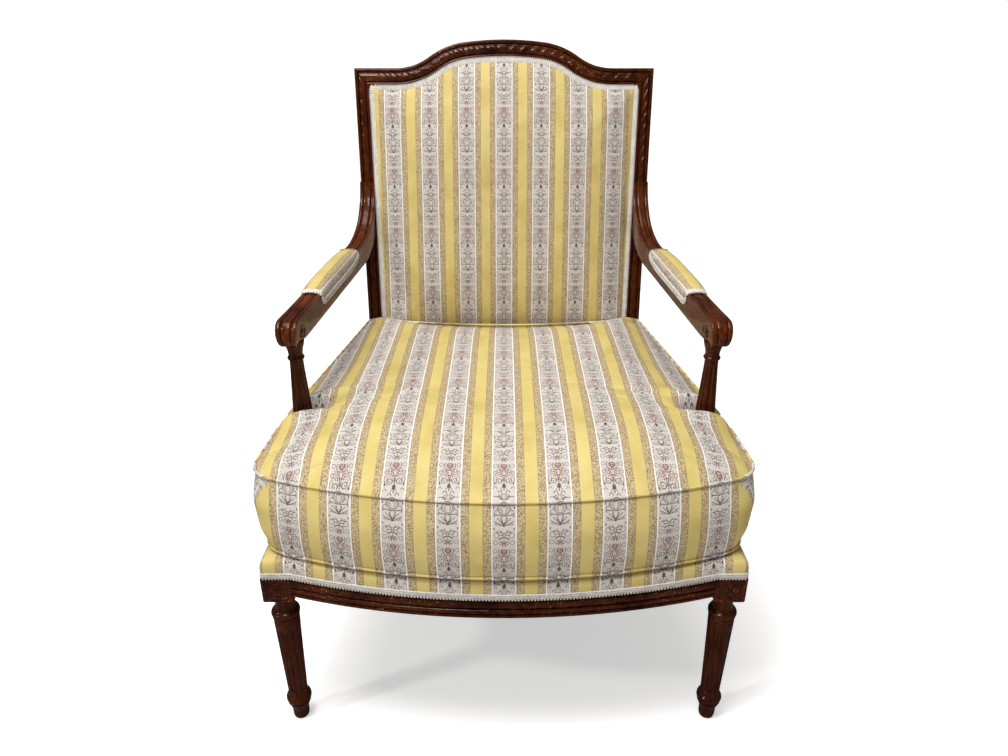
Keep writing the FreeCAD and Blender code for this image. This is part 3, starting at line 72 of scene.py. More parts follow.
LOW_SEAM, HIGH_SEAM = 317, 421
STRIPE = 70.9
MOTIF = 112
BAND_EDGE, SATIN_EDGE = 16.6, 26.6
RIBBON_PITCH = 21.0
BRAID_WIDTH, LOOP_PITCH = 8.4, 4.3

CAMERA_LENS, CAMERA_PLACE, CAMERA_PITCH = 27.03, (0, -1.183, 0.97), 25.3


def room(x, y, z):
    """Millimetres, with y from the leg blocks, to the row's frame in metres."""
    return Vector((x * MM, (y - SETBACK) * MM, z * MM))


def on_back(x, deep, up):
    """A point of the raked plane of the back: across, into the frame, along the stiles."""
    y = REAR_FACE + deep * math.cos(BACK_RAKE) + up * math.sin(BACK_RAKE)
    z = STILE_START - deep * math.sin(BACK_RAKE) + up * math.cos(BACK_RAKE)
    return room(x, y, z)


def on_arm(x, along, z):
    """A point of the right arm: across, back from its support, height."""
    turn_x = POST_X + x * math.cos(ARM_TOE) - along * math.sin(ARM_TOE)
    turn_y = POST_Y + x * math.sin(ARM_TOE) + along * math.cos(ARM_TOE)
    return room(turn_x, turn_y, z)


def side_face(y):
    return BLOCK_OUTER - SPLAY * (y - 42)


def mix(a, b, share):
    return a + (b - a) * share


# Materials

def paint(code, alpha=1.0):
    """A written colour as Blender's linear numbers."""
    parts = [int(code[i:i + 2], 16) / 255 for i in (1, 3, 5)]
    linear = [p / 12.92 if p <= 0.04045 else ((p + 0.055) / 1.055) ** 2.4 for p in parts]
    return (*linear, alpha)


class Maths:
    """A number in a shader, so that a pattern can be written as a formula."""

    def __init__(self, tree, socket):
        self.tree = tree
        self.socket = socket

    def step(self, kind, *others):
        node = self.tree.nodes.new("ShaderNodeMath")
        node.operation = kind
        for slot, value in zip(node.inputs, (self, *others)):
            if isinstance(value, Maths):
                self.tree.links.new(value.socket, slot)
            else:
                slot.default_value = value
        return Maths(self.tree, node.outputs[0])

    def fold(self, span):
        """Repeat every span, centred on nothing."""
        return self.step("WRAP", span / 2, -span / 2)

    def soft(self, low, high):
        """From nothing below low to one above high."""
        return ((self - low) / (high - low)).step("MAXIMUM", 0.0).step("MINIMUM", 1.0)


def operation(kind):
    return lambda self, *others: self.step(kind, *others)


for word, kind in (("__add__", "ADD"), ("__sub__", "SUBTRACT"), ("__mul__", "MULTIPLY"), ("__truediv__", "DIVIDE"),
                   ("__abs__", "ABSOLUTE"), ("below", "LESS_THAN"), ("above", "GREATER_THAN"), ("most", "MAXIMUM")):
    setattr(Maths, word, operation(kind))


class Finish:
    """A new material with its shader, and short ways to add nodes to it."""

    def __init__(self, name, roughness=0.5, **settings):
        self.material = bpy.data.materials.new(name)
        self.material.use_nodes = True
        self.tree = self.material.node_tree
        self.shader = self.tree.nodes["Principled BSDF"]
        self.set("Roughness", roughness)
        for socket, value in settings.items():
            self.set(socket.replace("_", " "), value)

    def set(self, socket, value):
        self.shader.inputs[socket].default_value = value

    def node(self, kind, **settings):
        node = self.tree.nodes.new(kind)
        for key, value in settings.items():
            setattr(node, key, value)
        return node

    def link(self, output, slot):
        self.tree.links.new(output, slot)
        return slot

    def place(self, stretch=(1, 1, 1)):
        """Object coordinates, stretched along a grain."""
        where = self.node("ShaderNodeTexCoord")
        mapping = self.node("ShaderNodeMapping")
        mapping.inputs["Scale"].default_value = stretch
        self.link(where.outputs["Object"], mapping.inputs["Vector"])
        return mapping.outputs["Vector"]

    def noise(self, vector, scale, detail=4.0, rough=0.55):
        node = self.node("ShaderNodeTexNoise")
        node.inputs["Scale"].default_value = scale
        node.inputs["Detail"].default_value = detail
        node.inputs["Roughness"].default_value = rough
        self.link(vector, node.inputs["Vector"])
        return Maths(self.tree, node.outputs["Fac"])

    def blend(self, share, first, second):
        """Mix two colours, each a code or an output."""
        node = self.node("ShaderNodeMix", data_type="RGBA")
        for slot, value in ((node.inputs[6], first), (node.inputs[7], second)):
            if isinstance(value, str):
                slot.default_value = paint(value)
            else:
                self.link(value, slot)
        if isinstance(share, Maths):
            self.link(share.socket, node.inputs[0])
        else:
            node.inputs[0].default_value = share
        return node.outputs[2]

    def colour(self, output):
        self.link(output, self.shader.inputs["Base Color"])

    def roughness(self, value):
        self.link(value.socket, self.shader.inputs["Roughness"])

    def bump(self, height, distance, strength=0.6):
        node = self.node("ShaderNodeBump")
        node.inputs["Strength"].default_value = strength
        node.inputs["Distance"].default_value = distance
        self.link(height.socket, node.inputs["Height"])
        self.link(node.outputs["Normal"], self.shader.inputs["Normal"])


def varnished_wood(name, grain, dark, light, worn="#8a6a52", fleck=0.0):
    """Red-brown varnish over grain that runs along one axis, with worn flecks on carved work."""
    finish = Finish(name, 0.3, Coat_Weight=0.26, Coat_Roughness=0.05, IOR=1.45, Specular_IOR_Level=0.1)
    long_grain = finish.place(grain)
    figure = finish.noise(long_grain, 34, 6, 0.62)
    cloud = finish.noise(finish.place(), 11, 3)
    pores = finish.noise(long_grain, 190, 3, 0.7)
    tone = (figure * 0.65 + cloud * 0.5).soft(0.42, 0.74)
    colour = finish.blend(tone, dark, light)
    colour = finish.blend(pores.soft(0.6, 0.75) * 0.5, colour, "#120604")
    if fleck:
        specks = finish.noise(finish.place(), 420, 2, 0.5).soft(0.64, 0.7) * cloud.soft(0.4, 0.6) * fleck
        colour = finish.blend(specks, colour, worn)
    finish.colour(colour)
    finish.roughness(cloud * 0.2 + 0.16)
    finish.bump(figure * 0.4 + pores * 0.3 + cloud * 1.5, 0.0005, 0.35)
    return finish.material


def cloth_position(finish):
    """Millimetres across and along the cloth, from the piece's own map."""
    where = finish.node("ShaderNodeUVMap", uv_map="cloth")
    parts = finish.node("ShaderNodeSeparateXYZ")
    finish.link(where.outputs["UV"], parts.inputs[0])
    return (Maths(finish.tree, parts.outputs["X"]) * 1000, Maths(finish.tree, parts.outputs["Y"]) * 1000,
            where.outputs["UV"])


def drawn_spot(x, y, centre, radii):
    """Inside an ellipse."""
    dx, dy = (x - centre[0]) / radii[0], (y - centre[1]) / radii[1]
    return (dx * dx + dy * dy).below(1.0)


PEN = 1.2


def drawn_ring(x, y, centre, radius, width, low=None, high=None, inner=None):
    """A drawn circle, or the part of it between two heights or beyond a distance."""
    dx, dy = x - centre[0], y - centre[1]
    line = abs((dx * dx + dy * dy).step("SQRT") - radius).below(width * PEN / 2)
    if low is not None:
        line = line * y.above(low)
    if high is not None:
        line = line * y.below(high)
    if inner is not None:
        line = line * x.above(inner)
    return line


def drawn_stroke(x, y, start, end, width):
    """A straight drawn line."""
    run = (end[0] - start[0], end[1] - start[1])
    length = math.hypot(*run)
    ux, uy = run[0] / length, run[1] / length
    dx, dy = x - start[0], y - start[1]
    along = (dx * ux + dy * uy).step("MAXIMUM", 0.0).step("MINIMUM", length)
    away_x, away_y = dx - along * ux, dy - along * uy
    return (away_x * away_x + away_y * away_y).below((width * PEN / 2) ** 2)


def together(shapes):
    total = shapes[0]
    for shape in shapes[1:]:
        total = total.most(shape)
    return total


def ornament(x, y):
    """The white stripe's drawing by kind of thread; x is from its middle and y runs down the repeat."""
    ring, stroke, spot = (partial(form, x, y) for form in (drawn_ring, drawn_stroke, drawn_spot))
    outline = [
        ring((0, 4), 7.2, 0.8), ring((0, 4), 3.4, 0.7), ring((6.6, 12), 2.0, 0.6),
        stroke((0, 22), (0, 33), 0.9), ring((6.4, 26.5), 3.3, 0.8),
        spot((6.9, 26.8), (0.9, 0.9)), ring((5.4, 24), 8.2, 0.6, 17, 32, 9),
        stroke((0, 24), (4.2, 29), 0.8), spot((0, 34), (2.4, 3.2)), spot((0, 39), (0.9, 1.4)),
        ring((4.8, 43), 2.3, 0.8, high=44), stroke((2, 45), (7.5, 48), 0.7),
        stroke((3, 48.8), (13, 48.6), 0.7), stroke((0, 50.6), (6, 50.6), 0.6),
        ring((0, 44), 8.6, 0.8, low=49), ring((0, 62.6), 7.8, 0.6), ring((0, 62.6), 6.4, 0.5),
        stroke((0, 61), (3, 57.6), 0.8), stroke((1, 71.5), (12.4, 69.8), 0.8),
        ring((10, 67.6), 2.3, 0.6, inner=9), spot((12.2, 71.6), (1.1, 0.7)),
        stroke((0, 83), (12.2, 77.5), 0.7), stroke((0, 82), (8.6, 73.8), 0.7),
        stroke((0, 81), (4.2, 73), 0.7), stroke((0, 82), (11.5, 81), 0.6),
        stroke((0.5, 91), (8, 88.4), 0.7), stroke((1, 93.5), (7.4, 92.6), 0.7),
        spot((8.4, 90.4), (1.1, 0.8)), ring((0, 103), 7, 1.1, high=99.5),
        stroke((0, 98), (0, 104), 0.8), ring((3.4, 104), 2.4, 0.6),
        ring((11.4, 3), 2.6, 0.5), ring((11.6, 14), 2.2, 0.5), ring((11.6, 38), 2.4, 0.5, high=38.5),
        ring((11.2, 57), 2.6, 0.5, low=56), ring((9.4, 93), 3.4, 0.5), ring((10.6, 103), 2.8, 0.5),
        spot((12.4, 30), (0.9, 1.6)), spot((12.6, 86), (0.8, 1.5)), spot((13, 62), (0.8, 1.6)),
        abs(x - 2.4 - (y * 0.52).step("SINE") * 1.4).below(0.42) * abs((y / 14).step("FRACT") - 0.5).below(0.3),
    ]
    roses = [spot((0, 4), (5.4, 5.4)), spot((3.6, 13.2), (2.6, 2.1)), spot((7.6, 17), (1.6, 2)),
             spot((2.6, 104.4), (1.7, 1.5)), spot((10.4, 13), (1.3, 1))]
    petals = [spot((2.4, 15.4), (0.8, 1.2)), spot((4.8, 17), (0.8, 1.2)), spot((1.1, 18.6), (0.8, 1.3)),
              spot((3.6, 19.8), (0.8, 1.2)), spot((1.4, 4.4), (0.9, 0.8)), spot((6, 20), (0.6, 0.9))]
    leaves = [spot((9.6, 22), (0.8, 3)), spot((8.2, 64), (1, 2)), spot((5.6, 58), (1.4, 0.9)),
              spot((9.8, 79.6), (1.6, 0.7)), spot((6, 97), (1.5, 0.8)), spot((9.2, 9), (1.2, 0.8)),
              ring((6, 30.5), 6.4, 0.6, 22, 36, 8.5)]
    return together(outline), together(roses), together(petals), together(leaves)


def striped_silk(name):
    """Yellow satin, taupe stippled bands and white bands with drawn ornament."""
    finish = Finish(name, 0.62, Specular_IOR_Level=0.3)
    across, along, vector = cloth_position(finish)
    fine = finish.noise(vector, 900, 2, 0.6)
    slow = finish.noise(vector, 16, 3)
    away = abs(across.fold(STRIPE))
    wobble = (fine - 0.5) * 0.5
    drawing, roses, petals, leaves = ornament(away + wobble, (along * -1).step("WRAP", MOTIF, 0.0) + wobble)
    weave_x = (across * (2 * math.pi / 0.55)).step("SINE")
    weave_y = (along * (2 * math.pi / 0.45)).step("SINE")
    ground = finish.blend(fine.soft(0.35, 0.65), "#dfd7cf", "#c3b9b0")
    ground = finish.blend(roses * fine.soft(0.38, 0.5) * 0.8, ground, "#ad7a74")
    ground = finish.blend(leaves * 0.7, ground, "#a08b58")
    ground = finish.blend(drawing * fine.soft(0.3, 0.4) * 0.92, ground, "#3f2f27")
    ground = finish.blend(petals * 0.95, ground, "#6f2529")
    grains = finish.node("ShaderNodeTexVoronoi")
    grains.inputs["Scale"].default_value = 560
    finish.link(vector, grains.inputs["Vector"])
    stipple = Maths(finish.tree, grains.outputs["Distance"])
    taupe = finish.blend(stipple.soft(0.2, 0.62), "#755f3d", "#ceb78e")
    satin = finish.blend(slow.soft(0.35, 0.7), "#dfca80", "#d2bb6b")
    dots = (along * (2 * math.pi / 1.7)).step("SINE").above(0.1)
    edge = abs(away - SATIN_EDGE).below(0.42).most(abs(away - BAND_EDGE).below(0.35)) * dots
    colour = finish.blend(away.above(16.4), ground, taupe)
    colour = finish.blend(away.above(SATIN_EDGE), colour, satin)
    colour = finish.blend(abs(away - 15.4).below(0.7), colour, "#f4f2ef")
    colour = finish.blend(edge * 0.8, colour, "#5b4a2e")
    colour = finish.blend(slow.soft(0.5, 0.8) * 0.1, colour, "#7d6a4c")
    finish.colour(colour)
    finish.roughness(away.above(SATIN_EDGE) * -0.2 + 0.66)
    raised = (weave_x * weave_y) * 0.5 + fine * 0.8 + drawing * 0.8 + stipple * away.above(16.4) * 0.8
    finish.bump(raised, 0.00018, 0.5)
    return finish.material


def woven_cloth(name, first, second, scale, distance=0.0003, roughness=0.85):
    """A plain weave for the hidden cloths and the webbing."""
    finish = Finish(name, roughness, Sheen_Weight=0.2)
    where = finish.place()
    parts = finish.node("ShaderNodeSeparateXYZ")
    finish.link(where, parts.inputs[0])
    threads = [(Maths(finish.tree, parts.outputs[axis]) * scale).step("SINE") for axis in "XYZ"]
    tone = finish.noise(where, 60, 4)
    weave = threads[0] * threads[1] + threads[1] * threads[2] + threads[0] * threads[2]
    finish.colour(finish.blend((weave * 0.2 + tone).soft(0.3, 0.8), first, second))
    finish.bump(weave * 0.3 + tone, distance)
    return finish.material


def braid_cloth(name):
    """Off-white yarn with painted shade in the gaps between the threads."""
    finish = Finish(name, 0.8, Specular_IOR_Level=0.25)
    where = finish.place()
    cells = finish.node("ShaderNodeTexVoronoi", feature="DISTANCE_TO_EDGE")
    cells.inputs["Scale"].default_value = 300
    finish.link(where, cells.inputs["Vector"])
    gap_relief_and_shade = Maths(finish.tree, cells.outputs["Distance"])
    tone = finish.noise(where, 90, 3)
    yarn = finish.blend(tone.soft(0.35, 0.65), "#fbf7f0", "#e9e2d8")
    # Painted shade: the yarn is darkened towards the gaps between the threads, where shade would fall.
    finish.colour(finish.blend(gap_relief_and_shade.soft(0.07, 0.0) * 0.7, yarn, "#8a8074"))
    finish.bump(gap_relief_and_shade.soft(0.0, 0.2), 0.0006, 0.8)
    return finish.material


def bare_metal(name):
    finish = Finish(name, 0.42, Metallic=1.0)
    scratches = finish.noise(finish.place((1, 1, 12)), 160, 3)
    finish.colour(finish.blend(scratches, "#6f6c68", "#a9a6a1"))
    finish.bump(scratches, 0.0002, 0.3)
    return finish.material


WOOD_UP = varnished_wood("varnished wood upright", (6, 6, 0.55), "#220902", "#55240c")
WOOD_ACROSS = varnished_wood("varnished wood across", (0.55, 6, 6), "#220902", "#55240c")
# The front-to-back wood of the arms and side rails is a lighter copy of the same varnish: its lighter tones are painted
# reflection.
WOOD_BACKWARD_PAINTED_REFLECTION = varnished_wood("varnished wood front to back with painted reflection", (6, 0.55, 6), "#2c0f05", "#6c3418")
WOOD_CARVED = varnished_wood("carved wood", (3, 3, 3), "#220902", "#5a270e", "#b98d6c", 0.8)
PLAIN_WOOD = varnished_wood("plain inner wood", (0.6, 5, 5), "#5b3c22", "#8a6238")
SILK = striped_silk("striped silk")
BRAID = braid_cloth("off-white braid")
JUTE = woven_cloth("jute", "#9c8257", "#5f4c2e", 2600, 0.0006)
FELT = woven_cloth("cotton felt", "#d8d0be", "#b3a991", 900)
DUST_CLOTH = woven_cloth("black dust cloth", "#17161a", "#09090b", 3400)
SCREW_METAL = bare_metal("screw metal")


# Pieces

def finished(name, mesh, material, body="frame", stands_for=(), crease=35):
    """Put a mesh in the scene as a piece of the chair."""
    mesh.materials.clear()
    mesh.materials.append(material)
    for face in mesh.polygons:
        face.use_smooth = True
    if crease:
        mesh.set_sharp_from_angle(angle=math.radians(crease))
    thing = bpy.data.objects.new(name, mesh)
    bpy.context.scene.collection.objects.link(thing)
    if stands_for:
        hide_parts(*stands_for)
    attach(thing, body)
    return thing


class Shape:
    """Vertices and faces gathered from several forms into one mesh."""

    def __init__(self):
        self.points = []
        self.faces = []

    def grid(self, rows, round_rows=False, round_columns=False, ends=False):
        """Skin rows of points; ends closes the first and last row."""
        start = len(self.points)
        wide = len(rows[0])
        for row in rows:
            self.points.extend(row)
        for i in range(len(rows) if round_rows else len(rows) - 1):
            low, high = start + i * wide, start + (i + 1) % len(rows) * wide
            for j in range(wide if round_columns else wide - 1):
                k = (j + 1) % wide
                self.faces.append((low + j, low + k, high + k, high + j))
        if ends:
            self.faces.append(tuple(range(start + wide - 1, start - 1, -1)))
            last = start + (len(rows) - 1) * wide
            self.faces.append(tuple(range(last, last + wide)))
        return self

    def mesh(self, name, mirrored=False):
        points = [(-point[0], point[1], point[2]) if mirrored else point for point in self.points]
        mesh = bpy.data.meshes.new(name)
        mesh.from_pydata(points, [], self.faces)
        grown = bmesh.new()
        grown.from_mesh(mesh)
        bmesh.ops.remove_doubles(grown, verts=grown.verts, dist=0.000004)
        bmesh.ops.recalc_face_normals(grown, faces=grown.faces)
        grown.to_mesh(mesh)
        grown.free()
        return mesh


def pair(name, shape, material, nodes=(), crease=35):
    """The right-hand piece and its left-hand copy."""
    for side in ("right", "left"):
        mesh = shape.mesh("%s_%s" % (name, side), side == "left")
        stands_for = ["%s_%s" % (node, side) for node in nodes]
        finished(mesh.name, mesh, material, stands_for=stands_for, crease=crease)


# Mouldings

def bead(start, end, foot, rise, count=7):
    """Points over a round bead, as (across, depth)."""
    points = []
    for i in range(count + 1):
        turn = math.pi * i / count
        across = mix(start, end, (1 - math.cos(turn)) / 2)
        points.append((across, foot - rise * math.sin(turn) ** 0.8 if 0 < i < count else foot))
    return points


def frame_moulding(width, along=None):
    """Front of the back frame: two edge beads and a broad carved bead between deep quirks."""
    edge = 6.6
    front = [(0, 3.4)] + bead(0.2, edge, 2.6, 2.6) + [(edge + 0.6, 4.4)]
    middle = bead(edge + 1.6, width - edge - 1.6, 3.0, 2.5, 16)
    if along is not None:
        half = width / 2 - edge - 1.6
        middle = [(u, d - ribbon(along, (u - width / 2) / half)) for u, d in middle]
    front += middle
    front += [(width - edge - 0.6, 4.4)] + bead(width - edge, width - 0.2, 2.6, 2.6) + [(width, 4.2)]
    return front


def frame_section(width, along=None):
    rear = FRAME_DEPTH
    return frame_moulding(width, along) + [
        (width + LEDGE, 4.4), (width + LEDGE, 26.6), (width, 26.6), (width, rear - 0.8), (width - 0.8, rear),
        (1.6, rear), (0.5, rear - 0.5), (0, rear - 1.6)]


def crest_stations(step=5.0):
    """Points of the crest's right half with the way inward, from the middle out."""
    top = SHOULDER + 51
    a, b = math.radians(7.2), math.radians(35)
    hollow = (51 - 600 * (1 - math.cos(a)) - 150 * (math.cos(a) - math.cos(b))) / (1 - math.cos(b))
    centre_1 = (0, top - 600)
    centre_2 = (450 * math.sin(a), top - 600 + 450 * math.cos(a))
    x_hollow = 600 * math.sin(a) + 150 * (math.sin(b) - math.sin(a)) + hollow * math.sin(b)
    centre_3 = (x_hollow, SHOULDER + hollow)
    stations = []
    for centre, radius, start, end, side in ((centre_1, 600, 0, a, 1), (centre_2, 150, a, b, 1),
                                             (centre_3, hollow, b, 0, -1)):
        count = max(2, round(radius * abs(end - start) / step))
        for i in range(count + 1):
            if stations and i == 0:
                continue
            turn = mix(start, end, i / count)
            out = (math.sin(turn) * side, math.cos(turn) * side)
            stations.append((centre[0] + out[0] * radius, centre[1] + out[1] * radius,
                             -math.sin(turn), -math.cos(turn)))
    return stations


def crest_shape():
    right = []
    stations = crest_stations(step=1.3)
    run, last = 9.0, stations[0]
    for x, up, nx, nu in stations:
        run += math.hypot(x - last[0], up - last[1])
        last = (x, up)
        right.append([on_back(x + nx * u, d, up + nu * u) for u, d in frame_section(CREST_WIDTH, run)])
    while last[0] < CREST_HALF - CREST_WIDTH - LEDGE - 1.3:
        last = (last[0] + 1.3, last[1])
        run += 1.3
        right.append([on_back(last[0], d, SHOULDER - u) for u, d in frame_section(CREST_WIDTH, run)])
    section = frame_section(CREST_WIDTH, run)
    right.append([on_back(CREST_HALF - u * STILE_WIDTH / CREST_WIDTH, d, SHOULDER - u) for u, d in section])
    left = [[Vector((-p.x, p.y, p.z)) for p in row] for row in reversed(right[1:])]
    return Shape().grid(left + right, round_columns=True, ends=True)


def stile_x(up):
    return REAR_OUTER + FLARE * up


def stile_shape():
    rows = []
    for k in range(441):
        share = k / 440
        row = []
        for u, d in frame_section(STILE_WIDTH, share * 590):
            top = SHOULDER - u * CREST_WIDTH / STILE_WIDTH
            row.append(on_back(mix(stile_x(2) - u, CREST_HALF - u, share), d, mix(2, top, share)))
        rows.append(row)
    shape = Shape().grid(rows, round_columns=True, ends=True)
    shape.grid([leg_section(z) for z in (0, 40, 90, 140, 180, 210, 230, 243, 254, 270, 290, 308.5)],
               round_columns=True, ends=True)
    return shape


def leg_section(z):
    """Rear leg: square with eased edges, raked back below the rails in a soft knee."""
    knee, width_top, deep_top, foot = 243, 38.5, 31, 28
    share = max(0.0, (knee + 12 - z) / (knee + 12))
    lean = share ** 1.06
    back = 45 * lean
    wide, deep = mix(width_top, foot, share), mix(deep_top, foot, share)
    low_x, low_y, ease = REAR_OUTER - wide, REAR_FACE + back, 2.2
    corners = [(low_x, low_y), (REAR_OUTER, low_y), (REAR_OUTER, low_y + deep), (low_x, low_y + deep)]
    row = []
    for i, (x, y) in enumerate(corners):
        before, after = corners[i - 1], corners[(i + 1) % 4]
        for other in (before, after):
            reach = math.hypot(other[0] - x, other[1] - y)
            row.append(room(x + (other[0] - x) * ease / reach, y + (other[1] - y) * ease / reach, z))
    return row


def low_rail_shape():
    section = [(CREST_WIDTH - u, d) for u, d in frame_section(CREST_WIDTH)]
    half = REAR_OUTER - STILE_WIDTH - LEDGE
    rows = [[on_back(x, d, LOW_RAIL + CREST_WIDTH - u) for u, d in section] for x in (-half, 0, half)]
    return Shape().grid(rows, round_columns=True, ends=True)


def rail_moulding(along=None):
    """Face of a seat rail downward from its top: fillet, carved band, quirk, round bead and foot bead."""
    carved = bead(5.6, 15.6, 1.9, 1.2, 12)
    if along is not None:
        carved = [(u, d - 0.8 * ribbon(along, (u - 10.6) / 5)) for u, d in carved]
    face = [(0, 3.2), (0, 2.2), (4.6, 2.2), (5.2, 2.6)] + carved + [(16.4, 3.4), (17.6, 3.6)]
    face += bead(18.2, 25.0, 2.4, 2.9, 8) + [(25.8, 3.4)] + bead(26.4, 31.6, 1.8, 1.6, 6)
    return face + [(32, 2.4), (32, 29), (31, 30), (-17, 30), (-18, 29), (-18, 2.9)]


def front_rail_shape():
    rows = []
    half = math.asin(BLOCK_INNER / BOW_RADIUS)
    for i in range(481):
        turn = mix(-half, half, i / 480)
        row = []
        for down, deep in rail_moulding(5 + abs(turn) * BOW_RADIUS):
            radius = BOW_RADIUS - deep
            x = max(-BLOCK_INNER, min(BLOCK_INNER, radius * math.sin(turn * 1.004)))
            row.append(room(x, BOW_RADIUS - FRONT_BOW - radius * math.cos(turn), WOOD_TOP - down))
        rows.append(row)
    return Shape().grid(rows, round_columns=True, ends=True)


def side_rail_shape():
    rows = []
    for y in (42.0, 200.0, 400.0, 610.0):
        rows.append([room(side_face(y) - deep, y, WOOD_TOP - down) for down, deep in rail_moulding()])
    return Shape().grid(rows, round_columns=True, ends=True)


# Turned work

def turned(shape, outline, centre, segments=96, cut=None):
    """Turn an outline of (radius, height) about an upright axis; cut gives a depth at (turn, height)."""
    rows = []
    for radius, z in outline:
        row = []
        for i in range(segments):
            turn = 2 * math.pi * i / segments
            reach = max(radius - (cut(turn, z) if cut else 0), 0.02)
            row.append(room(centre[0] + reach * math.cos(turn), centre[1] + reach * math.sin(turn), z))
        rows.append(row)
    return shape.grid(rows, round_columns=True, ends=True)


def round_outline(corners, step=2.0):
    """Points along straight runs and round rings; a corner may bulge towards the next one."""
    points = []
    for i, corner in enumerate(corners[:-1]):
        radius, z = corner[:2]
        bulge = corner[2] if len(corner) > 2 else 0
        next_radius, next_z = corners[i + 1][:2]
        run = math.hypot(next_radius - radius, next_z - z)
        count = 10 if bulge else max(1, round(run / step))
        for j in range(count):
            share = j / count
            swell = bulge * math.sqrt(max(0, 1 - (2 * share - 1) ** 2))
            points.append((mix(radius, next_radius, share) + swell, mix(z, next_z, share)))
    points.append(tuple(corners[-1][:2]))
    return points


def flute_cut(count, low, high, depth, foot_share=0.8, bare=0.24):
    """Round flutes between two heights, with flat fillets between them and round ends."""
    def cut(turn, z):
        span = 2 * math.pi / count
        place = ((turn / span) % 1.0 - 0.5) * 2
        half = 1 - bare
        inside = abs(place) / half
        end = min(z - low, high - z) / 5.0
        if end <= 0 or inside >= 1:
            return 0.0
        fade = math.sqrt(max(0.0, 1 - (1 - min(end, 1)) ** 2))
        share = (z - low) / (high - low)
        if inside >= fade:
            return 0.0
        return mix(foot_share, 1.0, share) * depth * math.sqrt(1 - (inside / fade) ** 2)
    return cut


def front_leg_shape():
    centre = (312.5, 21)
    outline = round_outline([
        (0, 239.5), (15.6, 239.5), (15.6, 239, 0.9), (15.6, 235.4), (14.2, 234.4, -1.2), (14.0, 214),
        (16.0, 212, 4.0), (16.4, 202), (17.4, 201.4, 1.5), (17.4, 197.4), (17.0, 196.8), (17.2, 194), (18.3, 191),
        (13.9, 48), (15.2, 46, 3.3), (15.2, 34.5), (15.8, 34, 1.2), (15.8, 30.6), (14.8, 27), (12.3, 18.5),
        (11.9, 5), (11.0, 1.6), (8.5, 0.2), (0, 0)])
    return turned(Shape(), outline, centre, 144, flute_cut(12, 54, 180, 3.0))


def block_shape():
    """Leg block with a bordered panel on its two outer faces."""
    shape = Shape()
    centre_x, centre_y, half = 312.5, 21.0, 21.0
    low, high, ease = 239.0, 280.0, 1.0
    rows = []
    for z, pull in ((low, ease), (low + ease, 0), (high - 0.4, 0), (high, 0.4)):
        reach = half - pull
        rows.append([room(centre_x + sx * reach, centre_y + sy * reach, z)
                     for sx, sy in ((-1, -1), (1, -1), (1, 1), (-1, 1))])
    shape.grid(rows, round_columns=True, ends=True)
    inner = half - 2.6
    rows = [[room(centre_x + sx * inner, centre_y + sy * inner, z)
             for sx, sy in ((-1, -1), (1, -1), (1, 1), (-1, 1))] for z in (279, RAIL_TOP)]
    shape.grid(rows, round_columns=True, ends=True)
    return shape


def block_carving(face):
    """Raised border, rosette of leaves and a small bar on one face; face is 'front' or 'side'."""
    shape = Shape()
    centre_z = 259.5

    def put(across, up, out):
        if face == "front":
            return room(312.5 + across, -out, centre_z + up)
        return room(BLOCK_OUTER + out, 21 + across, centre_z + up)

    border = [(20.4, 0.0), (20.0, 0.9), (17.4, 1.0), (16.2, 0.2), (15.6, -0.2)]
    rows = []
    for corner in ((-1, -1), (1, -1), (1, 1), (-1, 1)):
        rows.append([put(corner[0] * reach, corner[1] * (reach - 0.6), out) for reach, out in border])
    shape.grid(rows, round_rows=True)
    rows = []
    rings, around = 12, 64
    for i in range(rings + 1):
        share = i / rings
        row = []
        for j in range(around):
            turn = 2 * math.pi * j / around
            petal = abs(math.cos(2 * turn))
            reach = 12.6 * share * (0.62 + 0.38 * petal ** 0.6)
            veins = 0.55 * abs(math.sin(12 * turn)) * share
            leaf = math.sin(math.pi * min(1, share * 1.05)) * (0.5 + 1.9 * petal) - veins
            button = 2.0 * max(0.0, 1 - (share / 0.24) ** 2)
            row.append(put(reach * math.cos(turn), reach * math.sin(turn) + 1.5,
                           0.2 + max(leaf, button) * 1.0 if i < rings else -0.1))
        rows.append(row)
    shape.grid(rows, round_columns=True)
    rows = []
    for across in (-12, -11.4, 11.4, 12):
        height = 0.5 if abs(across) > 11.6 else 1.0
        rows.append([put(across, -14.0 + 1.1 * math.cos(t), 0.1 + height * math.sin(t))
                     for t in [math.pi * k / 8 for k in range(9)]])
    shape.grid(rows)
    return shape


def support_shape():
    centre = (POST_X, POST_Y)
    outline = round_outline([
        (0, 321), (12.5, 321), (12.5, 322, 1.8), (12.5, 328), (10.8, 330), (10.6, 336, 1.0), (15.4, 374, 0.9),
        (17.4, 400), (16.9, 406), (9.9, 520), (9.9, 525), (11.2, 526, 1.0), (11.2, 530), (10.2, 531), (10.4, 536),
        (11.5, 542), (13.8, 549), (14.4, 553.5), (0, 553.5)], 3.0)
    shape = turned(Shape(), outline, centre, 120, flute_cut(10, 404, 515, 2.2, 1.25))
    half = 13
    rows = [[room(POST_X + sx * (half - pull), POST_Y + sy * (half - pull), z)
             for sx, sy in ((-1, -1), (1, -1), (1, 1), (-1, 1))]
            for z, pull in ((RAIL_TOP, 0), (321, 0), (322, 1))]
    return shape.grid(rows, round_columns=True, ends=True)


# Arms

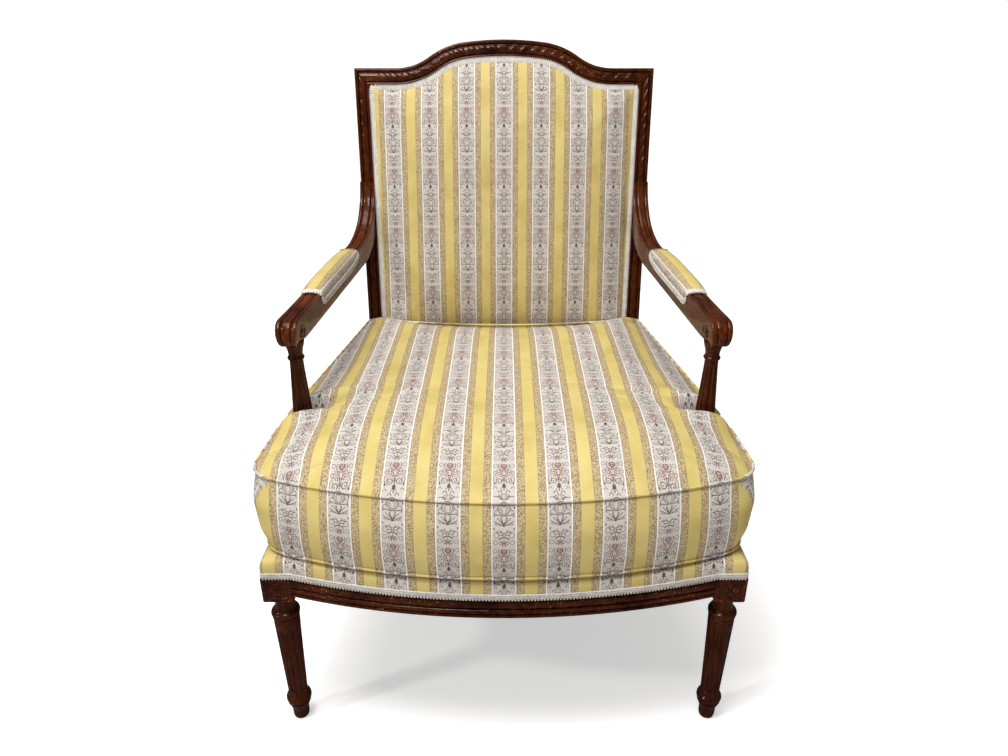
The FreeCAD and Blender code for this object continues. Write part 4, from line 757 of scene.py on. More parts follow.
def arm_line():
    """Top of the arm from under the hand to the stile as (along, height, way out), with the foot below each point."""
    a, rake = math.radians(20), BACK_RAKE
    rise_middle = ARM_TOP + 200 * (1 - math.cos(a))
    rise_top = rise_middle + 110 * (math.cos(a) - math.sin(rake))

    def end(z):
        return (REAR_FACE - POST_Y + (z - STILE_START) * math.tan(rake)) / math.cos(ARM_TOE)

    steep = end(rise_top) - 110 * (math.cos(rake) - math.sin(a))
    rise = steep - 200 * math.sin(a)
    root_top = ARM_UNDER + 27
    root = end(root_top) - math.sqrt(199 ** 2 - (199 - 27) ** 2)
    line = []
    for i in range(6):
        turn = math.pi / 2 * i / 5
        line.append((-33 + 15 - 15 * math.sin(turn), ARM_UNDER + 15 - 15 * math.cos(turn),
                     -math.sin(turn), -math.cos(turn)))
    for i in range(15):
        turn = math.pi / 2 * i / 14
        line.append((-13 - 20 * math.cos(turn), ARM_TOP - 20 + 20 * math.sin(turn), -math.cos(turn), math.sin(turn)))
    for i in range(1, 26):
        line.append((mix(-13, rise, i / 25), ARM_TOP, 0, 1))
    for i in range(1, 13):
        turn = a * i / 12
        line.append((rise + 200 * math.sin(turn), ARM_TOP + 200 * (1 - math.cos(turn)),
                     -math.sin(turn), math.cos(turn)))
    stop = math.pi / 2 - rake
    for i in range(1, 23):
        turn = mix(a, stop, i / 22)
        line.append((steep + 110 * (math.sin(turn) - math.sin(a)),
                     rise_middle + 110 * (math.cos(a) - math.cos(turn)), -math.sin(turn), math.cos(turn)))
    feet = []
    late = [k for k, entry in enumerate(line) if entry[0] > root]
    for k, (along, z, out_y, out_z) in enumerate(line):
        if k <= 20:
            foot = (mix(-22, -13, max(0, k - 5) / 15), ARM_UNDER)
        elif k < late[0]:
            foot = (along, ARM_UNDER)
        else:
            share = (k - late[0]) / (len(line) - 1 - late[0])
            if share < 0.45:
                run = mix(root, end(root_top), share / 0.45)
                foot = (run, ARM_UNDER + 199 - math.sqrt(199 ** 2 - (run - root) ** 2))
            else:
                level = mix(root_top, rise_top - 1.5, (share - 0.45) / 0.55)
                foot = (end(level) + 3, level)
        feet.append(foot)
    return line, feet


def hand_width(along, z):
    """The hand swells a little and rounds off at its tip and towards its foot."""
    if along > 20:
        return 1.0
    under = max(0.0, (ARM_UNDER + 22 - z) / 22) ** 2 * min(1.0, (20 - along) / 33)
    tip = max(0.0, (-along - 25) / 8) ** 2
    return 1.0 + 0.05 * math.sin(math.pi * (along + 33) / 53) - 0.08 * tip - 0.34 * under


def arm_shape():
    """Three ridges run from the stile along the top and over the hand; the sides stay smooth."""
    half = 14.9
    ridge = [(half, 1.6)] + [(half - u, d) for u, d in bead(0.3, 6.6, 1.4, 1.4, 6)] + [(half - 7.4, 3.6)]
    middle = [(6.6 - u, d) for u, d in bead(0, 6.6, 1.8, 1.9, 6)][:4]
    top = ridge + middle
    top += [(-x, d) for x, d in reversed(top)]
    line, feet = arm_line()
    rows = []
    for (along, z, out_y, out_z), (foot_y, foot_z) in zip(line, feet):
        row = [(x, along - out_y * d, z - out_z * d) for x, d in top]
        away_y, away_z = along - foot_y, z - foot_z
        for share in (0.75, 0.45, 0.18, 0.06, 0.0):
            x = -half + (1.4 if share == 0 else 0.3 if share < 0.1 else 0)
            row.append((x, foot_y + away_y * share * 0.93, foot_z + away_z * share * 0.93))
        row += [(-px, py, pz) for px, py, pz in reversed(row[-5:])]
        rows.append([on_arm(x * hand_width(along, z), along, z) for x, along, z in row])
    return Shape().grid(rows, round_columns=True, ends=True)


def roundel_shape():
    """Small turned roundel on the arm's inner face behind the hand."""
    shape = Shape()
    rows = []
    for radius, out in ((10, -0.2), (10, 0.9), (9.2, 1.5), (8.2, 1.2), (7.8, 0.4), (4.4, 0.4), (4.0, 1.3),
                        (2.5, 1.9), (0.05, 2.1)):
        rows.append([on_arm(-14.8 - out, -2 + radius * math.cos(t), 569 + radius * math.sin(t))
                     for t in [2 * math.pi * k / 40 for k in range(40)]])
    return shape.grid(rows, round_columns=True)


def screws_shape():
    """Two screws on each side, driven through the stile into the arm's root."""
    shape = Shape()
    for side in (1, -1):
        for up in (291, 314):
            x = side * (stile_x(up) - STILE_WIDTH / 2)
            rows = []
            for radius, deep in ((0.05, -15), (2.5, -15), (2.5, 24), (5, 24), (5, 29.4), (0.05, 29.4)):
                rows.append([on_back(x + radius * math.cos(turn), deep, up + radius * math.sin(turn))
                             for turn in [math.pi * k / 8 for k in range(16)]])
            shape.grid(rows, round_columns=True)
    return shape


# Carved ribbon

def ribbon(along, across):
    """Height of the carving on a round bead: a ribbon wound about a stick; across runs from -1 to 1."""
    turn = (along / RIBBON_PITCH + across * 0.34) % 1.0
    edge = 1 - across * across
    if turn < 0.62:
        lift = math.sin(math.pi * turn / 0.62) ** 0.5
        crease = 0.35 * math.exp(-((turn - 0.31) / 0.05) ** 2)
        return (lift - crease) * 1.5 * max(0, edge) ** 0.35
    berry = math.cos(math.pi * (turn - 0.81) / 0.38)
    return max(0.0, berry) * 0.75 * max(0.0, 1 - (across / 0.45) ** 2)


# Cloth forms

def arc(start, end, radius, turn, step=6.0, count=None):
    """Points from start to end along an arc; turn is 1 or -1 for its side."""
    chord = end - start
    normal = Vector((-chord.y, chord.x)).normalized()
    centre = (start + end) / 2 + normal * (math.sqrt(max(radius ** 2 - (chord.length / 2) ** 2, 0)) * turn)
    first = math.atan2(start.y - centre.y, start.x - centre.x)
    last = math.atan2(end.y - centre.y, end.x - centre.x)
    sweep = (last - first) * turn % (2 * math.pi) * turn
    count = count or max(2, round(radius * abs(sweep) / step))
    return [(centre.x + radius * math.cos(first + sweep * k / count),
             centre.y + radius * math.sin(first + sweep * k / count)) for k in range(count + 1)]


def trace(corners, step=6.0):
    """Points round a closed outline of corners (x, y) or (x, y, radius, turn), as the source draws it."""
    points = []
    for i, corner in enumerate(corners):
        start, end = Vector(corner[:2]), Vector(corners[(i + 1) % len(corners)][:2])
        chord = end - start
        if len(corner) == 2:
            count = max(1, round(chord.length / step))
            points += [tuple(start + chord * (k / count)) for k in range(count)]
            continue
        points += arc(start, end, *corner[2:], step)[:-1]
    return points


def even(points, count, closed=True):
    """The same line with evenly spaced points."""
    loop = np.array(points + points[:1] if closed else points, dtype=float)
    run = np.concatenate([[0], np.cumsum(np.linalg.norm(np.diff(loop, axis=0), axis=1))])
    at = np.linspace(0, run[-1], count + 1)[:-1] if closed else np.linspace(0, run[-1], count)
    return [tuple(p) for p in np.stack([np.interp(at, run, loop[:, k]) for k in range(loop.shape[1])], axis=1)]


def lay_cloth(mesh, chart):
    """Give each face corner its place on the cloth; chart takes the corner's point and the face."""
    layer = mesh.uv_layers.new(name="cloth")
    for face in mesh.polygons:
        for corner in face.loop_indices:
            point = mesh.vertices[mesh.loops[corner].vertex_index].co
            u, v = chart(point.x / MM, point.y / MM + SETBACK, point.z / MM, face)
            layer.data[corner].uv = (u * MM, v * MM)


def back_opening(inset, step=5.0):
    """Opening inside the back frame's mouldings, moved inward, as (across, up)."""
    low = LOW_RAIL + CREST_WIDTH + inset
    high = SHOULDER - CREST_WIDTH - inset
    right = [(x + nx * (CREST_WIDTH + inset), up + nu * (CREST_WIDTH + inset))
             for x, up, nx, nu in crest_stations(step=step)]
    side = [stile_x(high) - STILE_WIDTH - inset, stile_x(low) - STILE_WIDTH - inset]
    right = [p for p in right if p[0] < side[0]] + [(side[0], high)]
    count = round((high - low) / step)
    right += [(mix(side[0], side[1], k / count), mix(high, low, k / count)) for k in range(1, count + 1)]
    count = round(side[1] / step)
    right += [(side[1] * (1 - k / count), low) for k in range(1, count + 1)]
    return right + [(-x, up) for x, up in reversed(right[1:-1])]


BACK_CENTRE = (0, (LOW_RAIL + SHOULDER + 0.5 * 51) / 2)


def back_chart(x, y, z, face):
    up = (z - STILE_START) * math.cos(BACK_RAKE) + (y - REAR_FACE) * math.sin(BACK_RAKE)
    return x, up + 40


def back_pad_piece():
    """Stuffed back: it swells from the moulding, fullest in the middle, with slight pulls at the edge."""
    rim = back_opening(0.5, 4.0)
    shape = Shape()
    rows = [[on_back(x, 3.0, up) for x, up in rim]]
    for k in range(41):
        scale = 1.0 - (k / 41) ** 1.25
        full = (1 - min(1.0, scale / 0.972) ** 4) ** 0.75
        row = []
        for x, up in rim:
            px, pu = x * scale, mix(BACK_CENTRE[1], up, scale)
            pull = (0.5 * noise.noise(Vector((px * 0.03, pu * 0.03, 4.2)))
                    + 0.35 * noise.noise(Vector((px * 0.09, pu * 0.05, 1))))
            swell = 32.0 * full + pull * 2.2 * min(1, full * 3)
            row.append(on_back(px, -0.9 - swell, pu))
        rows.append(row)
    rows.append([on_back(0, -0.9 - 32, BACK_CENTRE[1])] * len(rim))
    shape.grid(rows, round_columns=True)
    shape.grid([rows[0], [on_back(0, 3.0, BACK_CENTRE[1])] * len(rim)], round_columns=True)
    mesh = shape.mesh("back_pad_cover")
    lay_cloth(mesh, back_chart)
    piece = finished("stuffed_back", mesh, SILK, stands_for=["back_pad"], crease=0)


def outside_back_piece():
    rim = back_opening(0.5, 8.0)
    shape = Shape()
    scales = [1.0, 0.98, 0.9, 0.75, 0.5, 0.25]
    rows = [[on_back(x * share, 27.2 + (0 if share > 0.97 else 1.1), mix(BACK_CENTRE[1], up, share))
             for x, up in rim] for share in scales]
    rows.append([on_back(0, 28.3, BACK_CENTRE[1])] * len(rim))
    shape.grid(rows, round_columns=True)
    mesh = shape.mesh("outside_back_cover")
    if sum((face.normal.y * face.area for face in mesh.polygons)) < 0:
        mesh.flip_normals()
    lay_cloth(mesh, back_chart)
    piece = finished("outside_back", mesh, SILK, stands_for=["outside_back_panel"], crease=0)


# Seat

def seat_side(inset, step=6.0):
    """The seat's outline from the middle of the front round the right side to the stile."""
    radius = BOW_RADIUS - inset
    end = math.asin(BLOCK_INNER / BOW_RADIUS)
    count = round(BLOCK_INNER / step)
    points = [(radius * math.sin(end * k / count), BOW_RADIUS - FRONT_BOW - radius * math.cos(end * k / count))
              for k in range(count + 1)]
    outer = BLOCK_OUTER - inset
    ease = 4.0
    points += [(mix(BLOCK_INNER + 4, outer - ease, k / 5), inset) for k in range(6)]
    points += [(outer - ease + ease * math.sin(t), inset + ease - ease * math.cos(t)) for t in (0.4, 0.8, 1.2, 1.5708)]
    points += [(outer, mix(inset + ease + 2, 42, k / 5)) for k in range(6)]
    count = round((609 - 42) / step)
    points += [(side_face(mix(42, 609, k / count)) - inset, mix(42, 609, k / count)) for k in range(1, count + 1)]
    return points


def seat_loop(inset, step=6.0):
    right = seat_side(inset, step)
    rear = right[-1]
    count = round(rear[0] / (2 * step))
    right += [(rear[0] * (1 - k / count), rear[1] + 26 * min(1, 4 * k / count)) for k in range(1, count + 1)]
    return right + [(-x, y) for x, y in reversed(right[1:-1])]


def seat_chart(x, y, z, face):
    """Stripes run up the front and back over the top; on the sides they run up."""
    normal = face.normal
    if abs(normal.z) > 0.7:
        return x, y + 10
    if abs(normal.x) > abs(normal.y):
        return math.copysign(333 + y, x), z
    return x, z


def platform_piece(name, foot, top, inset, material, node):
    rise = min(1.0, (top - foot) / 20)
    profile = [(inset, foot), (inset - 0.5, foot + 8 * rise), (inset - 0.6, mix(foot, top, 0.5)),
               (inset + 0.6, top - 8 * rise), (inset + 4, top - 3.4 * rise), (inset + 12, top - 0.8 * rise),
               (inset + 30, top)]
    rows = [[room(x, y, z) for x, y in seat_loop(pull)] for pull, z in profile]
    flat = seat_loop(inset + 30)
    for share in (0.75, 0.5, 0.25, 0.0):
        rows.append([room(x * share, mix(300, y, share), top) for x, y in flat])
    shape = Shape().grid(rows, round_columns=True)
    shape.grid([rows[0], [room(0, 300, foot)] * len(rows[0])], round_columns=True)
    mesh = shape.mesh(name)
    if material is SILK:
        lay_cloth(mesh, seat_chart)
    piece = finished(name, mesh, material, stands_for=[node], crease=0)


# Loose cushion

def cushion_plan(swell, pull, notch_pull, rear_pull, z, grow=0.0):
    half = 340 - pull + grow
    apex = -24 - swell - grow
    corner_x = (half - 45) / (1 - 45 / 890)
    corner_y = apex + 890 - math.sqrt(890 ** 2 - corner_x ** 2)
    side_y = corner_y + 45 * math.cos(math.asin(corner_x / 890))
    notch_x = POST_X - 17.8 - 4.5 - notch_pull + grow
    reach = 17.8 + 6 - grow
    rear_half = 272 - 0.85 * pull + grow
    rear = min(622, REAR_FACE + (z - STILE_START) * math.tan(BACK_RAKE) - 1.5) - rear_pull + grow / 3
    hollow_half = rear_half - 15
    hollow = (hollow_half ** 2 + 32 ** 2) / 64
    right = [(corner_x, corner_y, 45, 1), (half, side_y), (half - 4, POST_Y - reach), (notch_x, POST_Y - reach),
             (notch_x, POST_Y + reach), (half - 9, POST_Y + reach), (rear_half, rear - 15, 15.75, 1),
             (hollow_half, rear, hollow, -1)]
    left = [(-hollow_half, rear, 15.75, 1), (-rear_half, rear - 15)]
    left += [(-p[0], p[1]) for p in reversed(right[1:6])]
    left[-1] += (45, 1)
    left.append((-corner_x, corner_y, 890, 1))
    return right + left


def cushion_ring(swell, pull, notch_pull, rear_pull, z, grow=0.0):
    """Evenly spaced points round the cushion at one height, each side in the same share of the points."""
    corners = cushion_plan(swell, pull, notch_pull, rear_pull, z, grow)
    shares = [14, 30, 12, 14, 12, 76, 5, 100, 5, 76, 12, 14, 12, 30, 14, 120]
    points = []
    for i, share in enumerate(shares):
        if len(corners[i]) == 2:
            run = [corners[i], corners[(i + 1) % len(corners)][:2]]
        else:
            start, end = Vector(corners[i][:2]), Vector(corners[(i + 1) % len(corners)][:2])
            run = arc(start, end, *corners[i][2:], count=60)
        points += even(run, share + 1, closed=False)[:-1]
    return points


SWELLS = ((LOW_SEAM - 4.2, 2, 25, 10, 2), (LOW_SEAM, 17, 11, 0, 0), (LOW_SEAM + 26, 23, 3, 0, 0),
          (HIGH_SEAM - 38, 19, -3, 0, 0), (HIGH_SEAM, 0, 0, 0, 0))


def cushion_level(z, grow=0.0):
    """Outline at a height between the seams, eased between the measured levels."""
    heights = [level[0] for level in SWELLS]
    values = []
    for column in range(1, 5):
        measures = [level[column] for level in SWELLS]
        values.append(float(np.interp(z, heights, measures)))
    return cushion_ring(*values, z, grow)


def cushion_chart(x, y, z, face):
    """Top and bottom panels run front to back; the border's stripes run up and turn the corner with it."""
    middle = face.center.z / MM
    if middle > HIGH_SEAM or middle < LOW_SEAM:
        return x, HIGH_SEAM + y - 6
    deep = face.center.y / MM + SETBACK
    if deep < 30:
        run = min(abs(x), 311) + max(0.0, abs(x) - 311) * 0.75
    elif deep > 540 and abs(face.normal.y) > abs(face.normal.x):
        run = abs(x)
    else:
        run = 303 + y
        if abs(face.normal.y) > abs(face.normal.x):
            run += 340 - abs(x)
    return math.copysign(run, face.center.x), z - 30


def rear_dip(x, y):
    """How far the top sinks towards the middle of the back, where the stuffed back presses on it."""
    near = min(1.0, max(0.0, (y - 470) / 140))
    return 13 * near * near * (3 - 2 * near) * max(0.0, 1 - (x / 250) ** 2)


def cushion_shape():
    rows = []
    core = cushion_ring(-150, 190, 0, 170, HIGH_SEAM)
    calm = even(trace([(150, 60, 60, 1), (170, 90), (165, 430), (130, 460), (-130, 460), (-165, 430), (-170, 90, 60, 1),
                       (-150, 60)], 2.0), len(core))
    start = min(range(len(calm)), key=lambda k: abs(calm[k][0] - 150) + abs(calm[k][1] - 60))
    calm = calm[start:] + calm[:start]
    bottom = cushion_level(LOW_SEAM)
    top = cushion_level(HIGH_SEAM)
    base = LOW_SEAM - 4.2
    for share in (0.0, 0.4, 0.75, 0.92):
        rows.append([room(mix(cx, bx, share), mix(cy, by, share), base) for (cx, cy), (bx, by) in zip(calm, bottom)])
    rows.append([room(x, y, base + 1.2) for x, y in cushion_level(base + 1.7)])
    for k in range(19):
        z = mix(LOW_SEAM, HIGH_SEAM, k / 18)
        rows.append([room(x, y, z) for x, y in cushion_level(z)])
    for k in range(1, 35):
        share = 1 - (k / 34) ** 1.35
        row = []
        for (cx, cy), (tx, ty) in zip(calm, top):
            x, y = mix(cx, tx, share), mix(cy, ty, share)
            away = math.hypot(tx - x, ty - y)
            beside = math.exp(-(max(0.0, abs(ty - POST_Y) - 24) / 14) ** 2) * (0 if abs(tx) < 200 else 1)
            row.append(room(x, y, HIGH_SEAM + 33 * (1 - math.exp(-away / (40 - 25 * beside))) - rear_dip(x, y)))
        rows.append(row)
    shape = Shape().grid(rows, round_columns=True)
    for ring_points, z in ((rows[-1], None), (rows[0], base)):
        inner = []
        for share in (0.75, 0.5, 0.25, 0.0):
            inner.append([Vector((p.x * share, mix((260 - SETBACK) * MM, p.y, share),
                                  p.z if z else mix((HIGH_SEAM + 33.5) * MM, p.z, share))) for p in ring_points])
        shape.grid([ring_points] + inner, round_columns=True)
    return shape


def puff(piece, pinned, cap, frames=16, pressure=3.0):
    """Fill a closed cover with air for a few frames and keep the moved points within a cap."""
    rest = [vertex.co.copy() for vertex in piece.data.vertices]
    group = piece.vertex_groups.new(name="seams")
    group.add(pinned, 1.0, "REPLACE")
    cloth = piece.modifiers.new("cloth", "CLOTH")
    cloth.settings.quality = 5
    cloth.settings.mass = 0.25
    cloth.settings.tension_stiffness = 40
    cloth.settings.compression_stiffness = 25
    cloth.settings.bending_stiffness = 1.2
    cloth.settings.use_pressure = True
    cloth.settings.uniform_pressure_force = pressure
    cloth.settings.vertex_group_mass = "seams"
    cloth.settings.effector_weights.gravity = 0
    cloth.collision_settings.use_collision = False
    cloth.point_cache.frame_start = 1
    cloth.point_cache.frame_end = frames
    scene = bpy.context.scene
    for frame_number in range(1, frames + 1):
        scene.frame_set(frame_number)
    graph = bpy.context.evaluated_depsgraph_get()
    moved = [vertex.co.copy() for vertex in piece.evaluated_get(graph).data.vertices]
    piece.modifiers.remove(cloth)
    piece.vertex_groups.remove(group)
    scene.frame_set(1)
    for vertex, start, end in zip(piece.data.vertices, rest, moved):
        step = end - start
        if step.length > cap:
            step *= cap / step.length
        vertex.co = start + step
    piece.data.update()


def tube(line, radius, sides=10, closed=True):
    """A round cord along points."""
    count = len(line)
    rows = []
    for i, point in enumerate(line):
        before = line[(i - 1) % count if closed else max(i - 1, 0)]
        after = line[(i + 1) % count if closed else min(i + 1, count - 1)]
        ahead = (after - before).normalized()
        side = ahead.cross(Vector((0, 0, 1)))
        side = side.normalized() if side.length > 0.01 else Vector((1, 0, 0))
        up = side.cross(ahead)
        rows.append([point + side * (radius * math.cos(2 * math.pi * k / sides))
                     + up * (radius * math.sin(2 * math.pi * k / sides)) for k in range(sides)])
    return Shape().grid(rows, round_rows=closed, round_columns=True, ends=not closed)


def cushion_pieces():
    mesh = cushion_shape().mesh("cushion_cover")
    piece = finished("loose_cushion", mesh, SILK, "cushion", ["cushion_body"], crease=0)
    seams = []
    for vertex in mesh.vertices:
        z = vertex.co.z / MM
        if abs(z - LOW_SEAM) < 0.5 or abs(z - HIGH_SEAM) < 0.5 or z < LOW_SEAM:
            seams.append(vertex.index)
        elif abs(abs(vertex.co.x / MM) - 300) < 30 and abs(vertex.co.y / MM + SETBACK - POST_Y) < 32:
            seams.append(vertex.index)
    lay_cloth(mesh, cushion_chart)
    puff(piece, seams, 7 * MM)
    for name, z, node in (("cushion_lower_welt", LOW_SEAM - 1.2, "cushion_welt_bottom"),
                          ("cushion_upper_welt", HIGH_SEAM + 0.6, "cushion_welt_top")):
        line = [room(x, y, z) for x, y in cushion_level(min(max(z, LOW_SEAM), HIGH_SEAM), 0.8)]
        mesh = tube(line, 2.1 * MM).mesh(name)
        lay_cloth(mesh, lambda x, y, z, face: (x if y < 30 else math.copysign(303 + y, x), z - 30))
        finished(name, mesh, SILK, "cushion", [node], crease=0)


# Arm pads

PAD_START, PAD_LENGTH = 100, 228


def pad_flap(along):
    """Height of the flap's lower edge at a place along the pad."""
    straight = PAD_START + 0.7 * PAD_LENGTH
    if along < straight:
        return ARM_TOP - 17.0
    share = (along - straight) / (PAD_START + PAD_LENGTH - straight)
    return ARM_TOP - 17 + 13 * (1 - math.sqrt(max(0, 1 - share ** 2)) if share < 1 else 1)


def pad_section(along, count=14):
    """Points over the pad across the arm, from the inner flap's edge to the outer one's."""
    half = 17.5
    span = (along - PAD_START) / PAD_LENGTH
    crown = 14 * (1 - 0.5 * abs(2 * span - 1) ** 3)
    low = pad_flap(along)
    side = ARM_TOP - 1.0
    points = [(-half, mix(low, side, k / 5)) for k in range(5)]
    for k in range(count + 1):
        turn = math.pi * k / count
        points.append((-half * math.cos(turn), side + crown * math.sin(turn) ** 0.75))
    points += [(half, mix(side, low, k / 5)) for k in range(1, 6)]
    return points


def arm_pads():
    stations = [(PAD_START, 0.45), (PAD_START + 0.4, 0.8), (PAD_START + 1.6, 0.94), (PAD_START + 4, 1.0)]
    stations += [(mix(PAD_START + 8, PAD_START + PAD_LENGTH - 8, k / 40), 1.0) for k in range(41)]
    stations += [(PAD_START + PAD_LENGTH - 4, 0.97), (PAD_START + PAD_LENGTH - 1.5, 0.88),
                 (PAD_START + PAD_LENGTH - 0.3, 0.7), (PAD_START + PAD_LENGTH, 0.45)]
    rows = []
    for along, full in stations:
        section = pad_section(along)
        rows.append([(x * mix(0.93, 1, full), along,
                      ARM_TOP + 0.4 + (z - ARM_TOP - 0.4) * full if z > ARM_TOP else z) for x, z in section])
    inner = [[(x * 0.88, along, min(z, ARM_TOP + 0.4)) for x, along, z in row] for row in reversed(rows)]
    for side, sign in (("right", 1), ("left", -1)):
        shape = Shape().grid([[on_arm(*p) for p in row] for row in rows + inner], round_rows=True)
        mesh = shape.mesh("arm_pad_cover_%s" % side, side == "left")
        layer = mesh.uv_layers.new(name="cloth")
        for face in mesh.polygons:
            for corner in face.loop_indices:
                point = mesh.vertices[mesh.loops[corner].vertex_index].co
                x = point.x / MM * sign - POST_X
                y = point.y / MM + SETBACK - POST_Y
                across = x * math.cos(ARM_TOE) + y * math.sin(ARM_TOE)
                along = -x * math.sin(ARM_TOE) + y * math.cos(ARM_TOE)
                drop = max(0.0, ARM_TOP + 8 - point.z / MM)
                u = across + math.copysign(drop, across) + 0.5 * STRIPE - 2
                layer.data[corner].uv = (u * MM * sign, along * MM)
        piece = finished("arm_cushion_%s" % side, mesh, SILK, stands_for=["arm_pad_%s" % side],
                         crease=60)


# Braid

def scallops(name, line, material, radius=0.75, thread=0.7):
    """Small loops along a line of (point, way out, way ahead), made as instances and kept as one mesh."""
    points = [entry[0] for entry in line]
    cloud = bpy.data.meshes.new(name + "_places")
    cloud.from_pydata(points, [], [])
    for attribute, column in (("out", 1), ("ahead", 2)):
        store = cloud.attributes.new(attribute, "FLOAT_VECTOR", "POINT")
        for i, entry in enumerate(line):
            store.data[i].vector = entry[column]
    holder = bpy.data.objects.new(name + "_holder", cloud)
    bpy.context.scene.collection.objects.link(holder)
    tree = bpy.data.node_groups.new(name + "_loops", "GeometryNodeTree")
    size, yarn = [tree.interface.new_socket(label, in_out=way, socket_type=kind) for label, way, kind in (
        ("Geometry", "INPUT", "NodeSocketGeometry"), ("Loop radius", "INPUT", "NodeSocketFloat"),
        ("Thread radius", "INPUT", "NodeSocketFloat"), ("Geometry", "OUTPUT", "NodeSocketGeometry"))][1:3]
    nodes, links = tree.nodes, tree.links
    entry, leave, loop, cord, skin, spread, turn, solid, coat = [nodes.new(kind) for kind in (
        "NodeGroupInput", "NodeGroupOutput", "GeometryNodeCurvePrimitiveCircle", "GeometryNodeCurvePrimitiveCircle",
        "GeometryNodeCurveToMesh", "GeometryNodeInstanceOnPoints", "FunctionNodeAxesToRotation",
        "GeometryNodeRealizeInstances", "GeometryNodeSetMaterial")]
    loop.inputs["Resolution"].default_value = 9
    cord.inputs["Resolution"].default_value = 4
    turn.primary_axis, turn.secondary_axis = "Z", "X"
    coat.inputs["Material"].default_value = material
    for attribute, slot in (("out", "Primary Axis"), ("ahead", "Secondary Axis")):
        read = nodes.new("GeometryNodeInputNamedAttribute")
        read.data_type = "FLOAT_VECTOR"
        read.inputs["Name"].default_value = attribute
        links.new(read.outputs["Attribute"], turn.inputs[slot])
    for first, output, second, slot in (
            (entry, "Loop radius", loop, "Radius"), (entry, "Thread radius", cord, "Radius"),
            (loop, "Curve", skin, "Curve"), (cord, "Curve", skin, "Profile Curve"),
            (entry, "Geometry", spread, "Points"), (skin, "Mesh", spread, "Instance"),
            (turn, "Rotation", spread, "Rotation"), (spread, "Instances", solid, "Geometry"),
            (solid, "Geometry", coat, "Geometry"), (coat, "Geometry", leave, "Geometry")):
        links.new(first.outputs[output], second.inputs[slot])
    modifier = holder.modifiers.new("loops", "NODES")
    modifier.node_group = tree
    modifier[size.identifier] = radius * MM
    modifier[yarn.identifier] = thread * MM
    graph = bpy.context.evaluated_depsgraph_get()
    mesh = bpy.data.meshes.new_from_object(holder.evaluated_get(graph), depsgraph=graph)
    bpy.data.objects.remove(holder)
    mesh.name = name
    return mesh


def braid(name, path, width, node, closed=False, mirrored=False):
    """Woven braid along a path of (point, way out, way towards the wood): a band, two cords and small loops."""
    if mirrored:
        path = [tuple(Vector((-v.x, v.y, v.z)) for v in entry) for entry in path]
    places = [entry[0] for entry in path]
    run = [0.0]
    for a, b in zip(places, places[1:]):
        run.append(run[-1] + (b - a).length)
    total = run[-1] + ((places[0] - places[-1]).length if closed else 0)
    flat = np.array([[*p, *o, *w] for p, o, w in path] + ([[*places[0], *path[0][1], *path[0][2]]] if closed else []))
    run = np.array(run + ([total] if closed else []))

    def at(s):
        row = [float(np.interp(s, run, flat[:, k])) for k in range(9)]
        return Vector(row[:3]), Vector(row[3:6]).normalized(), Vector(row[6:]).normalized()

    shape = Shape()
    half = width / 2 * MM
    section = [(-1, 0.1), (-0.98, 0.7), (-0.72, 1.35), (-0.5, 0.8), (-0.28, 1.0), (0, 1.5), (0.28, 1.0), (0.5, 0.8),
               (0.72, 1.35), (0.98, 0.7), (1, 0.1)]
    count = max(8, round(total / (1.1 * MM)))
    rows = []
    for i in range(count if closed else count + 1):
        s = total * i / count
        point, out, side = at(s)
        twist = 0.6 * math.sin(2 * math.pi * s / (4.4 * MM))
        rows.append([point + side * (half * a) + out * (MM * (d + (0 if abs(a) > 0.9 else twist if j % 2 else -twist)))
                     for j, (a, d) in enumerate(section)])
    shape.grid(rows, round_rows=closed)
    mesh = shape.mesh(name + "_band")
    line = []
    loops = max(4, round(total / (LOOP_PITCH * MM)))
    for i in range(loops):
        s = total * (i + 0.5) / loops
        point, out, side = at(s)
        ahead = at(min(total, s + MM))[0] - point
        ahead = ahead.normalized() if ahead.length > 1e-9 else side.cross(out)
        line.append((point + side * (half + 0.9 * MM) + out * (0.9 * MM), out, ahead))
    loops_mesh = scallops(name + "_loops", line, BRAID)
    both = bmesh.new()
    both.from_mesh(mesh)
    both.from_mesh(loops_mesh)
    bmesh.ops.recalc_face_normals(both, faces=both.faces)
    both.to_mesh(mesh)
    both.free()
    bpy.data.meshes.remove(loops_mesh)
    mesh.name = name
    return finished(name, mesh, BRAID, stands_for=[node], crease=0)


def back_braids():
    tilt = Vector((0, -math.cos(BACK_RAKE), math.sin(BACK_RAKE)))
    middle = even(back_opening(4.6, 3.0), 560)
    for name, deep, out, node in (("back_braid", -0.9, tilt, "back_gimp"),
                                  ("outside_braid", 28.4, -tilt, "outside_back_gimp")):
        path = []
        for i, (x, up) in enumerate(middle):
            before, after = middle[i - 1], middle[(i + 1) % len(middle)]
            ahead = (on_back(after[0], deep, after[1]) - on_back(before[0], deep, before[1])).normalized()
            path.append((on_back(x, deep, up), out, tilt.cross(ahead)))
        braid(name, path, BRAID_WIDTH, node, closed=True)


def seat_braid():
    side = seat_side(0.5, 4.0)
    line = [(-x, y) for x, y in reversed(side[1:])] + side
    path = []
    for i, (x, y) in enumerate(line):
        before, after = line[max(i - 1, 0)], line[min(i + 1, len(line) - 1)]
        ahead = Vector((after[0] - before[0], after[1] - before[1], 0)).normalized()
        out = Vector((ahead.y, -ahead.x, 0))
        path.append((room(x, y, WOOD_TOP + 5.2), out, Vector((0, 0, -1))))
    braid("seat_braid", path, BRAID_WIDTH, "seat_gimp")


